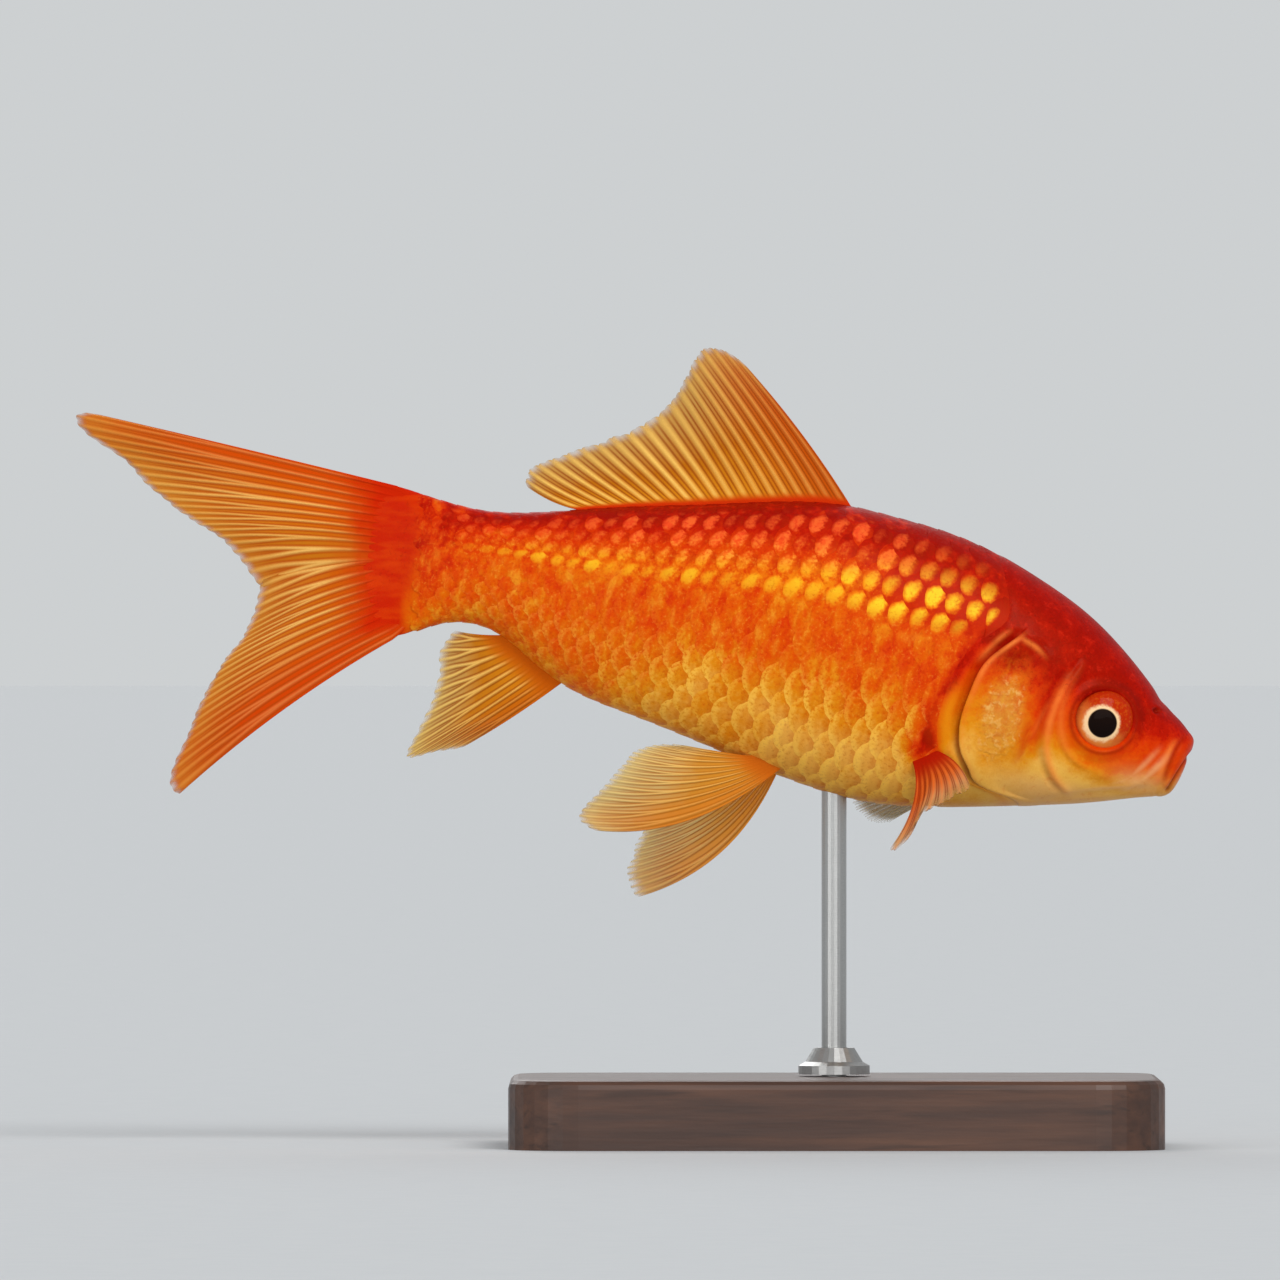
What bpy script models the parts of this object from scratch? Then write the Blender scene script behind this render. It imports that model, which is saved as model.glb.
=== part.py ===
"""A life-size goldfish held in its swimming pose on a plain display stand.

The fish is laid out in a swimming frame of its own, in millimetres: s runs back from the tip of
the snout along the body, h runs up, and y runs out to the fish's left. The function placed() bends
the tail a little to one side, tips the nose down and lifts the fish over its stand, in metres, with
+X the way the fish swims and +Z up. The origin is on the floor, under the middle of the whole.
"""

import math

import bmesh
import bpy
import numpy as np

MM = 0.001
GAP = 0.3  # left between neighbouring pieces

# The pose.
PITCH = math.radians(13)  # nose down
SNOUT_X, SNOUT_Z = 72.0, 51.9  # where the snout's tip is, over the floor
BEND_START, BEND_REACH, BEND = 40.0, 110.0, 9.0  # the tail swings this far to the left
SIDES = {"left": 1, "right": -1}

# The body's outline, as (s, h) and (s, half width) at the stations where its curve changes.
BACK = (
    (0, -1.0), (0.4, 0.7), (1, 1.4), (2.2, 2.4), (4, 3.6), (6, 5.3), (12, 10.1), (17, 13.2), (23, 15.8),
    (30, 18.1), (37, 19.4), (44, 19.8), (51, 19.8), (58, 18.6), (68, 15.9), (84, 11.5), (95, 8.7), (104, 9.1),
)
BELLY = (
    (0, -1.0), (0.3, -5.0), (0.8, -6.5), (1.8, -7.5), (3.5, -7.9), (7, -9.0), (12, -10.7), (20, -12.9),
    (30, -15.4), (38, -16.8), (45, -16.8), (51, -16.1), (60, -14.6), (72, -12.7), (80, -11.2), (85, -9.1),
    (90, -6.7), (95, -6.0), (99, -7.0), (104, -9.4),
)
HALF_WIDTH = (
    (0, 0), (0.5, 2.3), (1.5, 3.3), (3, 4.1), (6, 5.3), (11, 6.7), (17, 8.1), (24, 9.3), (32, 10.0),
    (42, 10.2), (52, 9.6), (62, 8.4), (72, 6.9), (82, 5.2), (90, 4.1), (98, 3.0), (101.5, 2.2), (104, 1.2),
)
WIDEST_LEVEL = (
    (0, -1.0), (1, -2.5), (5, -2.0), (12, -1.6), (20, -1.0), (30, 0.0), (45, 1.0), (80, 1.0), (104, 0.0),
)
TAIL_BASE = 104.0  # the last station
UPPER_FULLNESS, LOWER_FULLNESS = 2.15, 2.3  # superellipse exponents above and below the widest level
LEAN = 0.2  # how far the rings lean back for each mm up, at the tail
LEAN_START = 85.0
RINGS, AROUND = 42, 32

# The edge of the head: an ellipse for the gill opening, and a line up and back to the nape.
GILL_CENTRE, GILL_REACH, GILL_TOP = (20.0, -2.0), (10.0, 13.0), 8.4
NAPE = (34.5, 18.6)
CHEEK_CENTRE, CHEEK_REACH = (11.0, -2.0), (8.0, 12.5)  # the front of the gill cover
GILL_COVER_INNER = 5.5  # its inner face, out from the middle
JAW = ((-6, -0.9), (0.0, -1.1), (2.5, -6.5), (9.0, -8.0), (9.5, -20), (-6, -20))
LIP = ((-6, 1.0), (0.7, 1.3), (2.6, -1.4), (4.4, -4.9), (2.7, -6.0), (0.4, -1.0), (-6, -0.6))
STALK_START = 82.0

# The eye: an ellipsoid, flat from front to back, that looks a little forward.
EYE_AT, EYE_OUT = (11.7, 0.45), 5.0
EYE_RADIUS, EYE_DEPTH, EYE_TURN = 4.1, 2.55, math.radians(10)

# The stand.
BASE_SIZE, BASE_X, BASE_CORNER, BASE_BEVEL = (84.0, 56.0, 9.0), 26.0, 9.0, 1.2
ROD_RADIUS, ROD_STATION, ROD_IN_BODY, ROD_IN_BASE = 1.6, 43.5, 5.0, 5.0
COLLAR_RADIUS, COLLAR_HEIGHT = 4.6, 3.4

SKIN_COLOUR = (0.80, 0.16, 0.01)
FIN_COLOUR = (0.85, 0.30, 0.05)
EYE_COLOUR = (0.02, 0.02, 0.02)
WOOD_COLOUR = (0.09, 0.045, 0.025)
STEEL_COLOUR = (0.62, 0.62, 0.60)

FIN_ROOT_THICKNESS, FIN_EDGE_THICKNESS = 1.1, 0.55
FIN_ACROSS, FIN_ALONG = 12, 6

# Each fin is a fan. "root" is its first and last ray's foot, "edge" the places (u, s, h) that the
# rays end at, from the first ray, u = 0, to the last, u = 1, and "bow" how far the first and the
# last ray's middle is moved off its chord, as (s, h). A root that runs "on" the back or the belly
# takes its h from there. "out" is how far the edge of a paired fin stands further out than its root
# at the first and the last ray, and "sway" how far the edge of an unpaired one leans to the left.
FINS = {
    "dorsal_fin": {
        "root": ((50.4, 20.2), (84.2, 11.8)),
        "on": "back",
        "edge": (
            (0, 67.6, 34.8), (0.12, 71.2, 35.5), (0.25, 72.9, 33.2), (0.4, 74.6, 28.7),
            (0.52, 77.8, 23.9), (0.65, 82.4, 20.6), (0.8, 87.4, 17.3), (0.92, 90.3, 14.6), (1, 90.4, 12.9),
        ),
        "bow": ((-0.7, 0.9), (0.2, -0.4)),
        "sway": 1.8,
    },
    "anal_fin": {
        "root": ((81.0, -11.6), (90.3, -7.3)),
        "on": "belly",
        "edge": (
            (0, 91.8, -22.0), (0.15, 95.6, -23.5), (0.3, 98.3, -24.6), (0.5, 97.3, -19.6),
            (0.72, 96.8, -13.6), (0.9, 97.0, -9.4), (1, 95.9, -7.3),
        ),
        "bow": ((-0.1, -0.3), (0.2, -0.2)),
        "sway": 1.0,
    },
    "tail_fin_upper": {
        "root": ((106.2, 9.2), (104.5, 0.3)),
        "edge": (
            (0, 149.6, 9.2), (0.2, 144.2, 5.4), (0.4, 138.9, 2.1), (0.6, 133.0, -0.8),
            (0.8, 127.2, -2.9), (1, 121.6, -7.1),
        ),
        "bow": ((0, 0.1), (0.4, 1.0)),
        "sway": 3.0,
    },
    "tail_fin_lower": {
        "root": ((104.3, -0.1), (102.7, -9.6)),
        "edge": (
            (0, 121.3, -7.6), (0.2, 122.0, -12.8), (0.4, 124.0, -17.8), (0.6, 125.8, -23.6),
            (0.8, 126.9, -30.0), (0.94, 127.2, -35.0), (1, 126.0, -36.2),
        ),
        "bow": ((0.4, 1.0), (0.7, 0.7)),
        "sway": 1.4,
    },
    "pelvic_fin_right": {
        "root": ((51.2, -15.4), (55.2, -14.5)),
        "edge": (
            (0, 72.8, -28.2), (0.12, 75.0, -26.9), (0.3, 73.5, -23.6), (0.5, 71.7, -20.3),
            (0.7, 70.3, -17.7), (0.87, 68.0, -15.9), (1, 64.6, -15.1),
        ),
        "bow": ((-0.8, -2.6), (0, 0)),
        "out": (6.0, 2.0),
    },
    "pelvic_fin_left": {
        "root": ((51.2, -15.4), (55.2, -14.5)),
        "edge": (
            (0, 65.3, -35.6), (0.13, 66.9, -33.6), (0.35, 67.2, -30.2), (0.55, 66.7, -27.0),
            (0.75, 65.4, -23.6), (1, 62.2, -18.8),
        ),
        "bow": ((-2.3, -1.9), (0, -0.4)),
        "out": (7.0, 2.0),
    },
    "pectoral_fin_right": {
        "root": ((26.6, -12.4), (29.0, -9.4)),
        "edge": (
            (0, 34.8, -22.2), (0.15, 35.0, -20.2), (0.3, 34.2, -17.2), (0.45, 33.8, -14.9),
            (0.7, 34.2, -12.2), (1, 34.5, -9.4),
        ),
        "bow": ((0.3, 0.3), (0, 0)),
        "out": (11.0, 4.5),
    },
    "pectoral_fin_left": {
        "root": ((26.6, -12.4), (29.0, -9.4)),
        "edge": (
            (0, 35.6, -18.8), (0.3, 37.9, -19.2), (0.6, 40.2, -18.3), (0.8, 41.0, -16.8), (1, 40.6, -14.3),
        ),
        "bow": ((0.2, 0.6), (0, 0)),
        "out": (11.0, 5.0),
    },
}


def spline(knots, root=False):
    """A natural cubic through (x, value) knots, as a function of x. With root it runs in the square
    root of x, which rounds off the end where x is 0."""
    x, value = np.array(knots, float).T
    x = np.sqrt(x) if root else x
    step = np.diff(x)
    system, right = np.eye(len(x)), np.zeros(len(x))
    for i in range(1, len(x) - 1):
        system[i, i - 1 : i + 2] = step[i - 1], 2 * (step[i - 1] + step[i]), step[i]
        right[i] = 6 * (np.diff(value)[i] / step[i] - np.diff(value)[i - 1] / step[i - 1])
    curve = np.linalg.solve(system, right)

    def at(where):
        where = np.sqrt(where) if root else np.asarray(where, float)
        i = np.clip(np.searchsorted(x, where) - 1, 0, len(x) - 2)
        past = np.clip(where, x[0], x[-1]) - x[i]
        slope = (value[i + 1] - value[i]) / step[i] - step[i] * (2 * curve[i] + curve[i + 1]) / 6
        steeper = past * (curve[i] / 2 + past * (curve[i + 1] - curve[i]) / (6 * step[i]))
        return value[i] + past * (slope + steeper)

    return at


back, belly = spline(BACK, root=True), spline(BELLY, root=True)
half_width, widest_level = spline(HALF_WIDTH, root=True), spline(WIDEST_LEVEL, root=True)


def placed(points):
    """Points (s, y, h) of the swimming frame, in millimetres, as places in metres."""
    s, y, h = np.asarray(points, float).T
    sideways = y + BEND * (np.clip(s - BEND_START, 0, None) / BEND_REACH) ** 2
    forward = SNOUT_X - s * math.cos(PITCH) + h * math.sin(PITCH)
    up = SNOUT_Z + s * math.sin(PITCH) + h * math.cos(PITCH)
    return np.stack([forward, sideways, up], axis=-1) * MM


def foot_on_body(s, h, clear):
    """The place (y, h) a little way out from the body's surface at a station and a level."""
    middle, width = widest_level(s), half_width(s)
    above = h > middle
    reach = (back(s) if above else belly(s)) - middle
    fullness = UPPER_FULLNESS if above else LOWER_FULLNESS
    share = (h - middle) / reach
    y = width * (1 - share**fullness) ** (1 / fullness)
    out = np.array([(y / width) ** (fullness - 1) / width, share ** (fullness - 1) / reach])
    return np.array([y, h]) + clear * out / np.linalg.norm(out)


def ring(s, count):
    """The points of the body's cross-section at a station, evenly spaced, from the back down its left
    side and up its right."""
    angle = np.linspace(0, math.pi, 181)
    up, out = np.cos(angle), np.sin(angle)
    fullness = np.where(up > 0, UPPER_FULLNESS, LOWER_FULLNESS)
    middle = widest_level(s)
    reach = np.where(up > 0, back(s) - middle, middle - belly(s))
    h = middle + reach * np.sign(up) * np.abs(up) ** (2 / fullness)
    y = half_width(s) * out ** (2 / fullness)
    along = np.concatenate([[0], np.cumsum(np.hypot(np.diff(h), np.diff(y)))])
    even = np.linspace(0, along[-1], count // 2 + 1)
    h, y = np.interp(even, along, h), np.interp(even, along, y)
    lean = LEAN * max(0.0, (s - LEAN_START) / (TAIL_BASE - LEAN_START))
    left = np.stack([s + lean * (h - middle), y, h], axis=-1)
    return np.concatenate([left, left[-2:0:-1] * (1, -1, 1)])


def material(name, colour, roughness, metallic=0.0):
    made = bpy.data.materials.new(name)
    made.use_nodes = True
    shader = made.node_tree.nodes["Principled BSDF"]
    shader.inputs["Base Color"].default_value = (*colour, 1)
    shader.inputs["Roughness"].default_value = roughness
    shader.inputs["Metallic"].default_value = metallic
    return made


def mesh_object(name, points, faces, finish=None):
    """An object from points in metres and faces, with its faces turned outwards."""
    mesh = bpy.data.meshes.new(name)
    mesh.from_pydata([tuple(p) for p in points], [], faces)
    if finish:
        mesh.materials.append(finish)
    shape = bmesh.new()
    shape.from_mesh(mesh)
    bmesh.ops.recalc_face_normals(shape, faces=shape.faces)
    shape.to_mesh(mesh)
    shape.free()
    made = bpy.data.objects.new(name, mesh)
    bpy.context.scene.collection.objects.link(made)
    return made


def as_cutter(made):
    made.hide_render = True
    made.display_type = "WIRE"
    return made


def cut(target, cutter, operation):
    boolean = target.modifiers.new(f"{operation.lower()} {cutter.name}", "BOOLEAN")
    boolean.operation = operation
    boolean.object = cutter
    boolean.solver = "EXACT"


def body_mesh():
    """The whole body, from the tip of the snout to the base of the tail, as points and faces."""
    stations = TAIL_BASE * np.linspace(0, 1, RINGS + 1)[1:] ** 1.5
    points = [np.array([[0, 0, widest_level(0.0)]])] + [ring(s, AROUND) for s in stations]
    faces = [(0, 1 + i, 1 + (i + 1) % AROUND) for i in range(AROUND)]
    for k in range(RINGS - 1):
        first = 1 + k * AROUND
        for i in range(AROUND):
            after = (i + 1) % AROUND
            faces.append((first + i, first + AROUND + i, first + AROUND + after, first + after))
    faces.append(tuple(range(1 + (RINGS - 1) * AROUND, 1 + RINGS * AROUND)))
    return placed(np.concatenate(points)), faces


def grown(outline, by):
    """An outline of (s, h) points, moved outwards by a distance."""
    points = np.array(outline, float)
    ahead, behind = np.roll(points, -1, axis=0) - points, points - np.roll(points, 1, axis=0)
    area = np.sum(points[:, 0] * np.roll(points[:, 1], -1) - np.roll(points[:, 0], -1) * points[:, 1])
    outward = []
    for edge in (behind, ahead):
        unit = edge / np.linalg.norm(edge, axis=1, keepdims=True)
        outward.append(np.stack([unit[:, 1], -unit[:, 0]], axis=1) * math.copysign(1, area))
    both = outward[0] + outward[1]
    return points + by * 2 * both / np.sum(both * both, axis=1, keepdims=True)


def prism(name, outline, low=-30.0, high=30.0):
    """A cutter: an outline of (s, h) points, seen from the side, drawn out from y = low to y = high."""
    count = len(outline)
    points = [(s, y, h) for y in (low, high) for s, h in outline]
    faces = [tuple(range(count)), tuple(range(count, 2 * count))]
    faces += [(i, (i + 1) % count, count + (i + 1) % count, count + i) for i in range(count)]
    return as_cutter(mesh_object(name, placed(points), faces))


def arc(centre, reach, first, last, steps):
    """Points (s, h) of an ellipse between two angles in degrees, where 0 is its rearmost point."""
    angles = np.radians(np.linspace(first, last, steps))
    return [(centre[0] + reach[0] * math.cos(a), centre[1] + reach[1] * math.sin(a)) for a in angles]


def head_outline():
    top = math.degrees(math.asin((GILL_TOP - GILL_CENTRE[1]) / GILL_REACH[1]))
    slit = arc(GILL_CENTRE, GILL_REACH, top, -72, 14)
    return [(-6, 30), (NAPE[0] + 7, 30), NAPE, *slit, (slit[-1][0] - 2, -30), (-6, -30)]


def gill_cover_outline():
    cheek = arc(CHEEK_CENTRE, CHEEK_REACH, -52, 42, 10)
    return [*cheek, (22.5, 7.6), (40, 7.6), (40, -11.9)]


def make_body(finish):
    """The flesh: one body, cut into the parts that a person would name."""
    points, faces = body_mesh()
    head_edge, cover_edge = head_outline(), gill_cover_outline()
    head_cut = prism("cut_head", head_edge)
    trunk_cut = prism("cut_trunk", grown(head_edge, GAP))
    jaw_cut, jaw_room = prism("cut_jaw", JAW), prism("room_jaw", grown(JAW, GAP))
    lip_cut, lip_room = prism("cut_lip", LIP), prism("room_lip", grown(LIP, GAP))
    stalk_edge = [(STALK_START, -30), (STALK_START, 30), (120, 30), (120, -30)]
    stalk_cut, stalk_room = prism("cut_stalk", stalk_edge), prism("room_stalk", grown(stalk_edge, GAP))

    def piece(name, *cuts):
        made = mesh_object(name, points, faces, finish)
        for cutter, operation in cuts:
            cut(made, cutter, operation)
        return made

    head = piece("head", (head_cut, "INTERSECT"), (jaw_room, "DIFFERENCE"), (lip_room, "DIFFERENCE"))
    for side, sign in SIDES.items():
        spans = [sorted((sign * inner, sign * 30)) for inner in (GILL_COVER_INNER, GILL_COVER_INNER - GAP)]
        cover_cut = prism(f"cut_cover_{side}", cover_edge, *spans[0])
        cover_room = prism(f"room_cover_{side}", grown(cover_edge, GAP), *spans[1])
        piece(f"gill_cover_{side}", (head_cut, "INTERSECT"), (cover_cut, "INTERSECT"))
        cut(head, cover_room, "DIFFERENCE")
        cut(head, as_cutter(eyeball(f"socket_{side}", sign, GAP)), "DIFFERENCE")
    piece("lower_jaw", (jaw_cut, "INTERSECT"), (lip_room, "DIFFERENCE"))
    piece("upper_jaw", (lip_cut, "INTERSECT"))
    trunk = piece("trunk", (trunk_cut, "DIFFERENCE"), (stalk_room, "DIFFERENCE"))
    piece("tail_stalk", (stalk_cut, "INTERSECT"))
    cut(trunk, as_cutter(rod("room_rod", ROD_RADIUS + GAP, GAP)), "DIFFERENCE")


def eyeball(name, sign, extra=0.0, finish=None):
    """An eyeball, or with extra the room for it. Its mesh is round its own middle."""
    bpy.ops.mesh.primitive_uv_sphere_add(segments=24, ring_count=12, radius=1)
    made = bpy.context.object
    made.name = made.data.name = name
    size = [(EYE_RADIUS + extra) * MM, (EYE_DEPTH + extra) * MM, (EYE_RADIUS + extra) * MM]
    made.scale = size
    bpy.ops.object.transform_apply(location=False, rotation=False, scale=True)
    made.location = placed([(EYE_AT[0], sign * EYE_OUT, EYE_AT[1])])[0]
    made.rotation_euler = (0, 0, -sign * EYE_TURN)
    made.data.shade_smooth()
    if finish:
        made.data.materials.append(finish)
    return made


def fin_surface(fin, sign):
    """The middle surface of a fin as a grid of points (s, y, h), across the rays and then along them."""
    across, along = np.linspace(0, 1, FIN_ACROSS + 1), np.linspace(0, 1, FIN_ALONG + 1)
    u, v = np.meshgrid(across, along, indexing="ij")
    u_knot, s_knot, h_knot = np.array(fin["edge"], float).T
    edge = spline(list(zip(u_knot, s_knot)))(across), spline(list(zip(u_knot, h_knot)))(across)
    root = [fin["root"][0][k] * (1 - u) + fin["root"][1][k] * u for k in (0, 1)]
    if "on" in fin:
        root[1] = back(root[0]) + GAP if fin["on"] == "back" else belly(root[0]) - GAP
    flat = []
    for k in (0, 1):
        bow = fin["bow"][0][k] * (1 - u) + fin["bow"][1][k] * u
        flat.append(root[k] * (1 - v) + edge[k][:, None] * v + bow * 4 * v * (1 - v))
    s, h = flat
    if "out" not in fin:
        return np.stack([s, fin["sway"] * v**2, h], axis=-1)
    clear = FIN_ROOT_THICKNESS / 2 + GAP
    foot = np.array([foot_on_body(*place, clear) for place in zip(root[0][:, 0], root[1][:, 0])])
    y, lower = foot[:, :1], foot[:, 1:] - root[1][:, :1]
    reach = fin["out"][0] * (1 - u) + fin["out"][1] * u
    return np.stack([s, sign * (y + reach * v), h + lower * (1 - v)], axis=-1)


def make_fin(name, fin, finish):
    """A fin as one closed solid: its middle surface, thickened both ways, thinner at the edge."""
    sign = SIDES[name.rsplit("_", 1)[-1]] if "out" in fin else 1
    middle = fin_surface(fin, sign)
    normal = np.cross(np.gradient(middle, axis=0), np.gradient(middle, axis=1))
    normal /= np.linalg.norm(normal, axis=-1, keepdims=True)
    along = np.linspace(0, 1, FIN_ALONG + 1)[None, :, None]
    half = (FIN_ROOT_THICKNESS * (1 - along) ** 2 + FIN_EDGE_THICKNESS * (1 - (1 - along) ** 2)) / 2
    columns, rows = middle.shape[:2]
    faces_apart = np.stack([middle + normal * half, middle - normal * half])
    points = placed(faces_apart.reshape(-1, 3))
    behind = columns * rows
    faces = []
    for i in range(columns - 1):
        for j in range(rows - 1):
            corners = (i * rows + j, (i + 1) * rows + j, (i + 1) * rows + j + 1, i * rows + j + 1)
            faces += [corners, tuple(behind + c for c in reversed(corners))]
    rim = [i * rows for i in range(columns)] + [(columns - 1) * rows + j for j in range(1, rows)]
    rim += [i * rows + rows - 1 for i in range(columns - 2, -1, -1)] + list(range(rows - 2, 0, -1))
    for a, b in zip(rim, rim[1:] + rim[:1]):
        faces.append((b, a, behind + a, behind + b))
    made = mesh_object(name, points, faces, finish)
    made.data.shade_smooth()
    made.data.set_sharp_from_angle(angle=math.radians(50))


def rod_foot():
    """Where the rod's axis meets the belly, in millimetres over the floor."""
    return placed([(ROD_STATION, 0, float(belly(ROD_STATION)))])[0] / MM


def rod(name, radius, extra=0.0):
    """The upright rod, or with extra the room for it."""
    foot = rod_foot()
    low, high = BASE_SIZE[2] - ROD_IN_BASE - extra, foot[2] + ROD_IN_BODY + extra
    bpy.ops.mesh.primitive_cylinder_add(vertices=24, radius=radius * MM, depth=(high - low) * MM)
    made = bpy.context.object
    made.name = made.data.name = name
    made.location = (foot[0] * MM, foot[1] * MM, (low + high) / 2 * MM)
    return made


def make_stand(wood, steel):
    """A flat base with rounded corners, one upright rod and a turned collar at the rod's foot."""
    foot = rod_foot()
    bpy.ops.mesh.primitive_cube_add(size=1)
    base = bpy.context.object
    base.name = base.data.name = "stand_base"
    base.scale = [side * MM for side in BASE_SIZE]
    bpy.ops.object.transform_apply(location=False, rotation=False, scale=True)
    base.location = (BASE_X * MM, 0, BASE_SIZE[2] / 2 * MM)
    base.data.materials.append(wood)
    shape = bmesh.new()
    shape.from_mesh(base.data)
    upright = [e for e in shape.edges if abs(e.verts[0].co.z - e.verts[1].co.z) > MM]
    bmesh.ops.bevel(shape, geom=upright, offset=BASE_CORNER * MM, segments=7, profile=0.5, affect="EDGES")
    top = [e for e in shape.edges if all(v.co.z > BASE_SIZE[2] / 2 * MM - 1e-6 for v in e.verts)]
    bmesh.ops.bevel(shape, geom=top, offset=BASE_BEVEL * MM, segments=3, profile=0.5, affect="EDGES")
    shape.to_mesh(base.data)
    shape.free()
    cut(base, as_cutter(rod("room_in_base", ROD_RADIUS + GAP, GAP)), "DIFFERENCE")

    upright_rod = rod("stand_rod", ROD_RADIUS)
    upright_rod.data.materials.append(steel)
    upright_rod.data.shade_smooth()
    upright_rod.data.set_sharp_from_angle(angle=math.radians(40))

    profile = [
        (ROD_RADIUS + GAP, 0), (ROD_RADIUS + GAP, COLLAR_HEIGHT), (ROD_RADIUS + 1.0, COLLAR_HEIGHT),
        (COLLAR_RADIUS - 0.9, 1.6), (COLLAR_RADIUS, 1.1), (COLLAR_RADIUS, 0),
    ]
    turns, count = 28, len(profile)
    points = []
    for k in range(turns):
        angle = 2 * math.pi * k / turns
        for r, z in profile:
            x, y = foot[0] + r * math.cos(angle), foot[1] + r * math.sin(angle)
            points.append((x, y, BASE_SIZE[2] + GAP + z))
    faces = []
    for k in range(turns):
        here, there = k * count, (k + 1) % turns * count
        for i in range(count):
            after = (i + 1) % count
            faces.append((here + i, there + i, there + after, here + after))
    collar = mesh_object("stand_collar", np.array(points) * MM, faces, steel)
    collar.data.shade_smooth()
    collar.data.set_sharp_from_angle(angle=math.radians(30))


def main():
    for old in list(bpy.data.objects):
        bpy.data.objects.remove(old)
    make_body(material("skin", SKIN_COLOUR, 0.3))
    eye_finish = material("eye", EYE_COLOUR, 0.05)
    for side, sign in SIDES.items():
        eyeball(f"eye_{side}", sign, finish=eye_finish)
    fin_finish = material("fin", FIN_COLOUR, 0.4)
    for name, fin in FINS.items():
        make_fin(name, fin, fin_finish)
    make_stand(material("wood", WOOD_COLOUR, 0.45), material("steel", STEEL_COLOUR, 0.3, 1.0))


main()
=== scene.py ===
# %% [markdown]
# # A goldfish on its stand
# This lesson dresses a museum model of a common goldfish. The solids that carry it are already cut:
# head, trunk, fins, eyes and stand. Here one skin goes over the flesh, scales go over the skin, each fin
# gets its rays, and each surface gets its colour. The frame comes first, because all else is placed by it.

# %% Load the frame
import math

import bmesh
import bpy
import numpy as np
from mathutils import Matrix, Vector


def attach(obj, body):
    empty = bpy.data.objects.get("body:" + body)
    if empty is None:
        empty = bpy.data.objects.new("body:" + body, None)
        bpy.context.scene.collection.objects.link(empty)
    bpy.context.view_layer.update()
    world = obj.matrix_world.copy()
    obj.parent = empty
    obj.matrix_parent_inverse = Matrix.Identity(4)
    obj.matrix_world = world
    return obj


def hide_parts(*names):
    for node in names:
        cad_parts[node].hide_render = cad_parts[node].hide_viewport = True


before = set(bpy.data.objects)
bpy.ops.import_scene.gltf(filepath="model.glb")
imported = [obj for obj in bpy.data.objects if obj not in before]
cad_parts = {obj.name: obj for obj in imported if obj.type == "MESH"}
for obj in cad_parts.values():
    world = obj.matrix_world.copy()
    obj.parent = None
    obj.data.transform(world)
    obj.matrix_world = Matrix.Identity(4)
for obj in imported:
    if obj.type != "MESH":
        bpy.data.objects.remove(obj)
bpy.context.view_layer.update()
MM = 0.001
print("nodes:", sorted(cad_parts))

# %% [markdown]
# ## Camera, floor and light
# A fish in a tank is looked at straight from its side, with a long lens that keeps the near and the far
# fins alike. The camera faces along +Y, level with the flank, and takes in the fish and its stand. The
# floor is large and plain and the sky is as pale, so that nothing draws the eye from the fish.

# %% Camera
FRAME_WIDTH, DISTANCE = 164.7, 3000.0  # what the view spans at the fish, and how far off the camera is
SENSOR = 36.0
AIM = (0.85, 0.0, 65.15)

camera_data = bpy.data.cameras.new("camera")
camera_data.sensor_width = SENSOR
camera_data.lens = SENSOR * DISTANCE / FRAME_WIDTH
camera_data.clip_start, camera_data.clip_end = 0.01, 50.0
camera = bpy.data.objects.new("camera", camera_data)
camera.location = (AIM[0] * MM, (AIM[1] - DISTANCE) * MM, AIM[2] * MM)
camera.rotation_euler = (math.radians(90), 0, 0)
bpy.context.scene.collection.objects.link(camera)
bpy.context.scene.camera = camera
bpy.context.scene.view_settings.view_transform = "Standard"
print("lens", round(camera_data.lens), "mm")

# %% [markdown]
# The light is a softly overcast room's: four broad lights that come from far off, so that the floor is
# as bright near the stand as at the horizon. The main one comes from above and in front, two more fill
# the tail side and the belly, and the last shines on the fins from behind. The sky lights the fish less
# than it seems to from the camera, which keeps the reds deep.

# %% Lamps and sky
def soft_light(name, toward, strength, softness):
    """A far light, as a direction it comes from, with how wide it is in degrees."""
    data = bpy.data.lights.new(name, "SUN")
    data.energy, data.angle = strength, math.radians(softness)
    lamp = bpy.data.objects.new(name, data)
    lamp.rotation_euler = Vector(toward).to_track_quat("Z", "Y").to_euler()
    bpy.context.scene.collection.objects.link(lamp)


soft_light("main_light", (0.35, -0.75, 0.65), 1.55, 28)
soft_light("tail_light", (-0.6, -0.75, 0.08), 0.7, 40)
soft_light("low_light", (0.2, -1.0, 0.02), 0.55, 40)
soft_light("back_light", (-0.2, 0.8, 0.55), 0.9, 40)

PAPER = (0.61, 0.63, 0.64, 1)  # the sky as the camera sees it
world = bpy.data.worlds.new("sky")
world.use_nodes = True
sky = world.node_tree
sky.nodes["Background"].inputs["Color"].default_value = (0.97, 1.0, 1.03, 1)
sky.nodes["Background"].inputs["Strength"].default_value = 0.40
seen = sky.nodes.new("ShaderNodeBackground")
seen.inputs["Color"].default_value = PAPER
choice, path = sky.nodes.new("ShaderNodeMixShader"), sky.nodes.new("ShaderNodeLightPath")
sky.links.new(path.outputs["Is Camera Ray"], choice.inputs[0])
sky.links.new(sky.nodes["Background"].outputs[0], choice.inputs[1])
sky.links.new(seen.outputs[0], choice.inputs[2])
sky.links.new(choice.outputs[0], sky.nodes["World Output"].inputs["Surface"])
bpy.context.scene.world = world

# %% [markdown]
# ## Writing a finish
# A finish is a tree of nodes. Reckoning with its values reads best as plain sums, so a small class wraps
# a socket and turns + - * / into Math nodes. Every other node comes from one method, which sets the
# node's own settings first and then its sockets.

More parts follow.
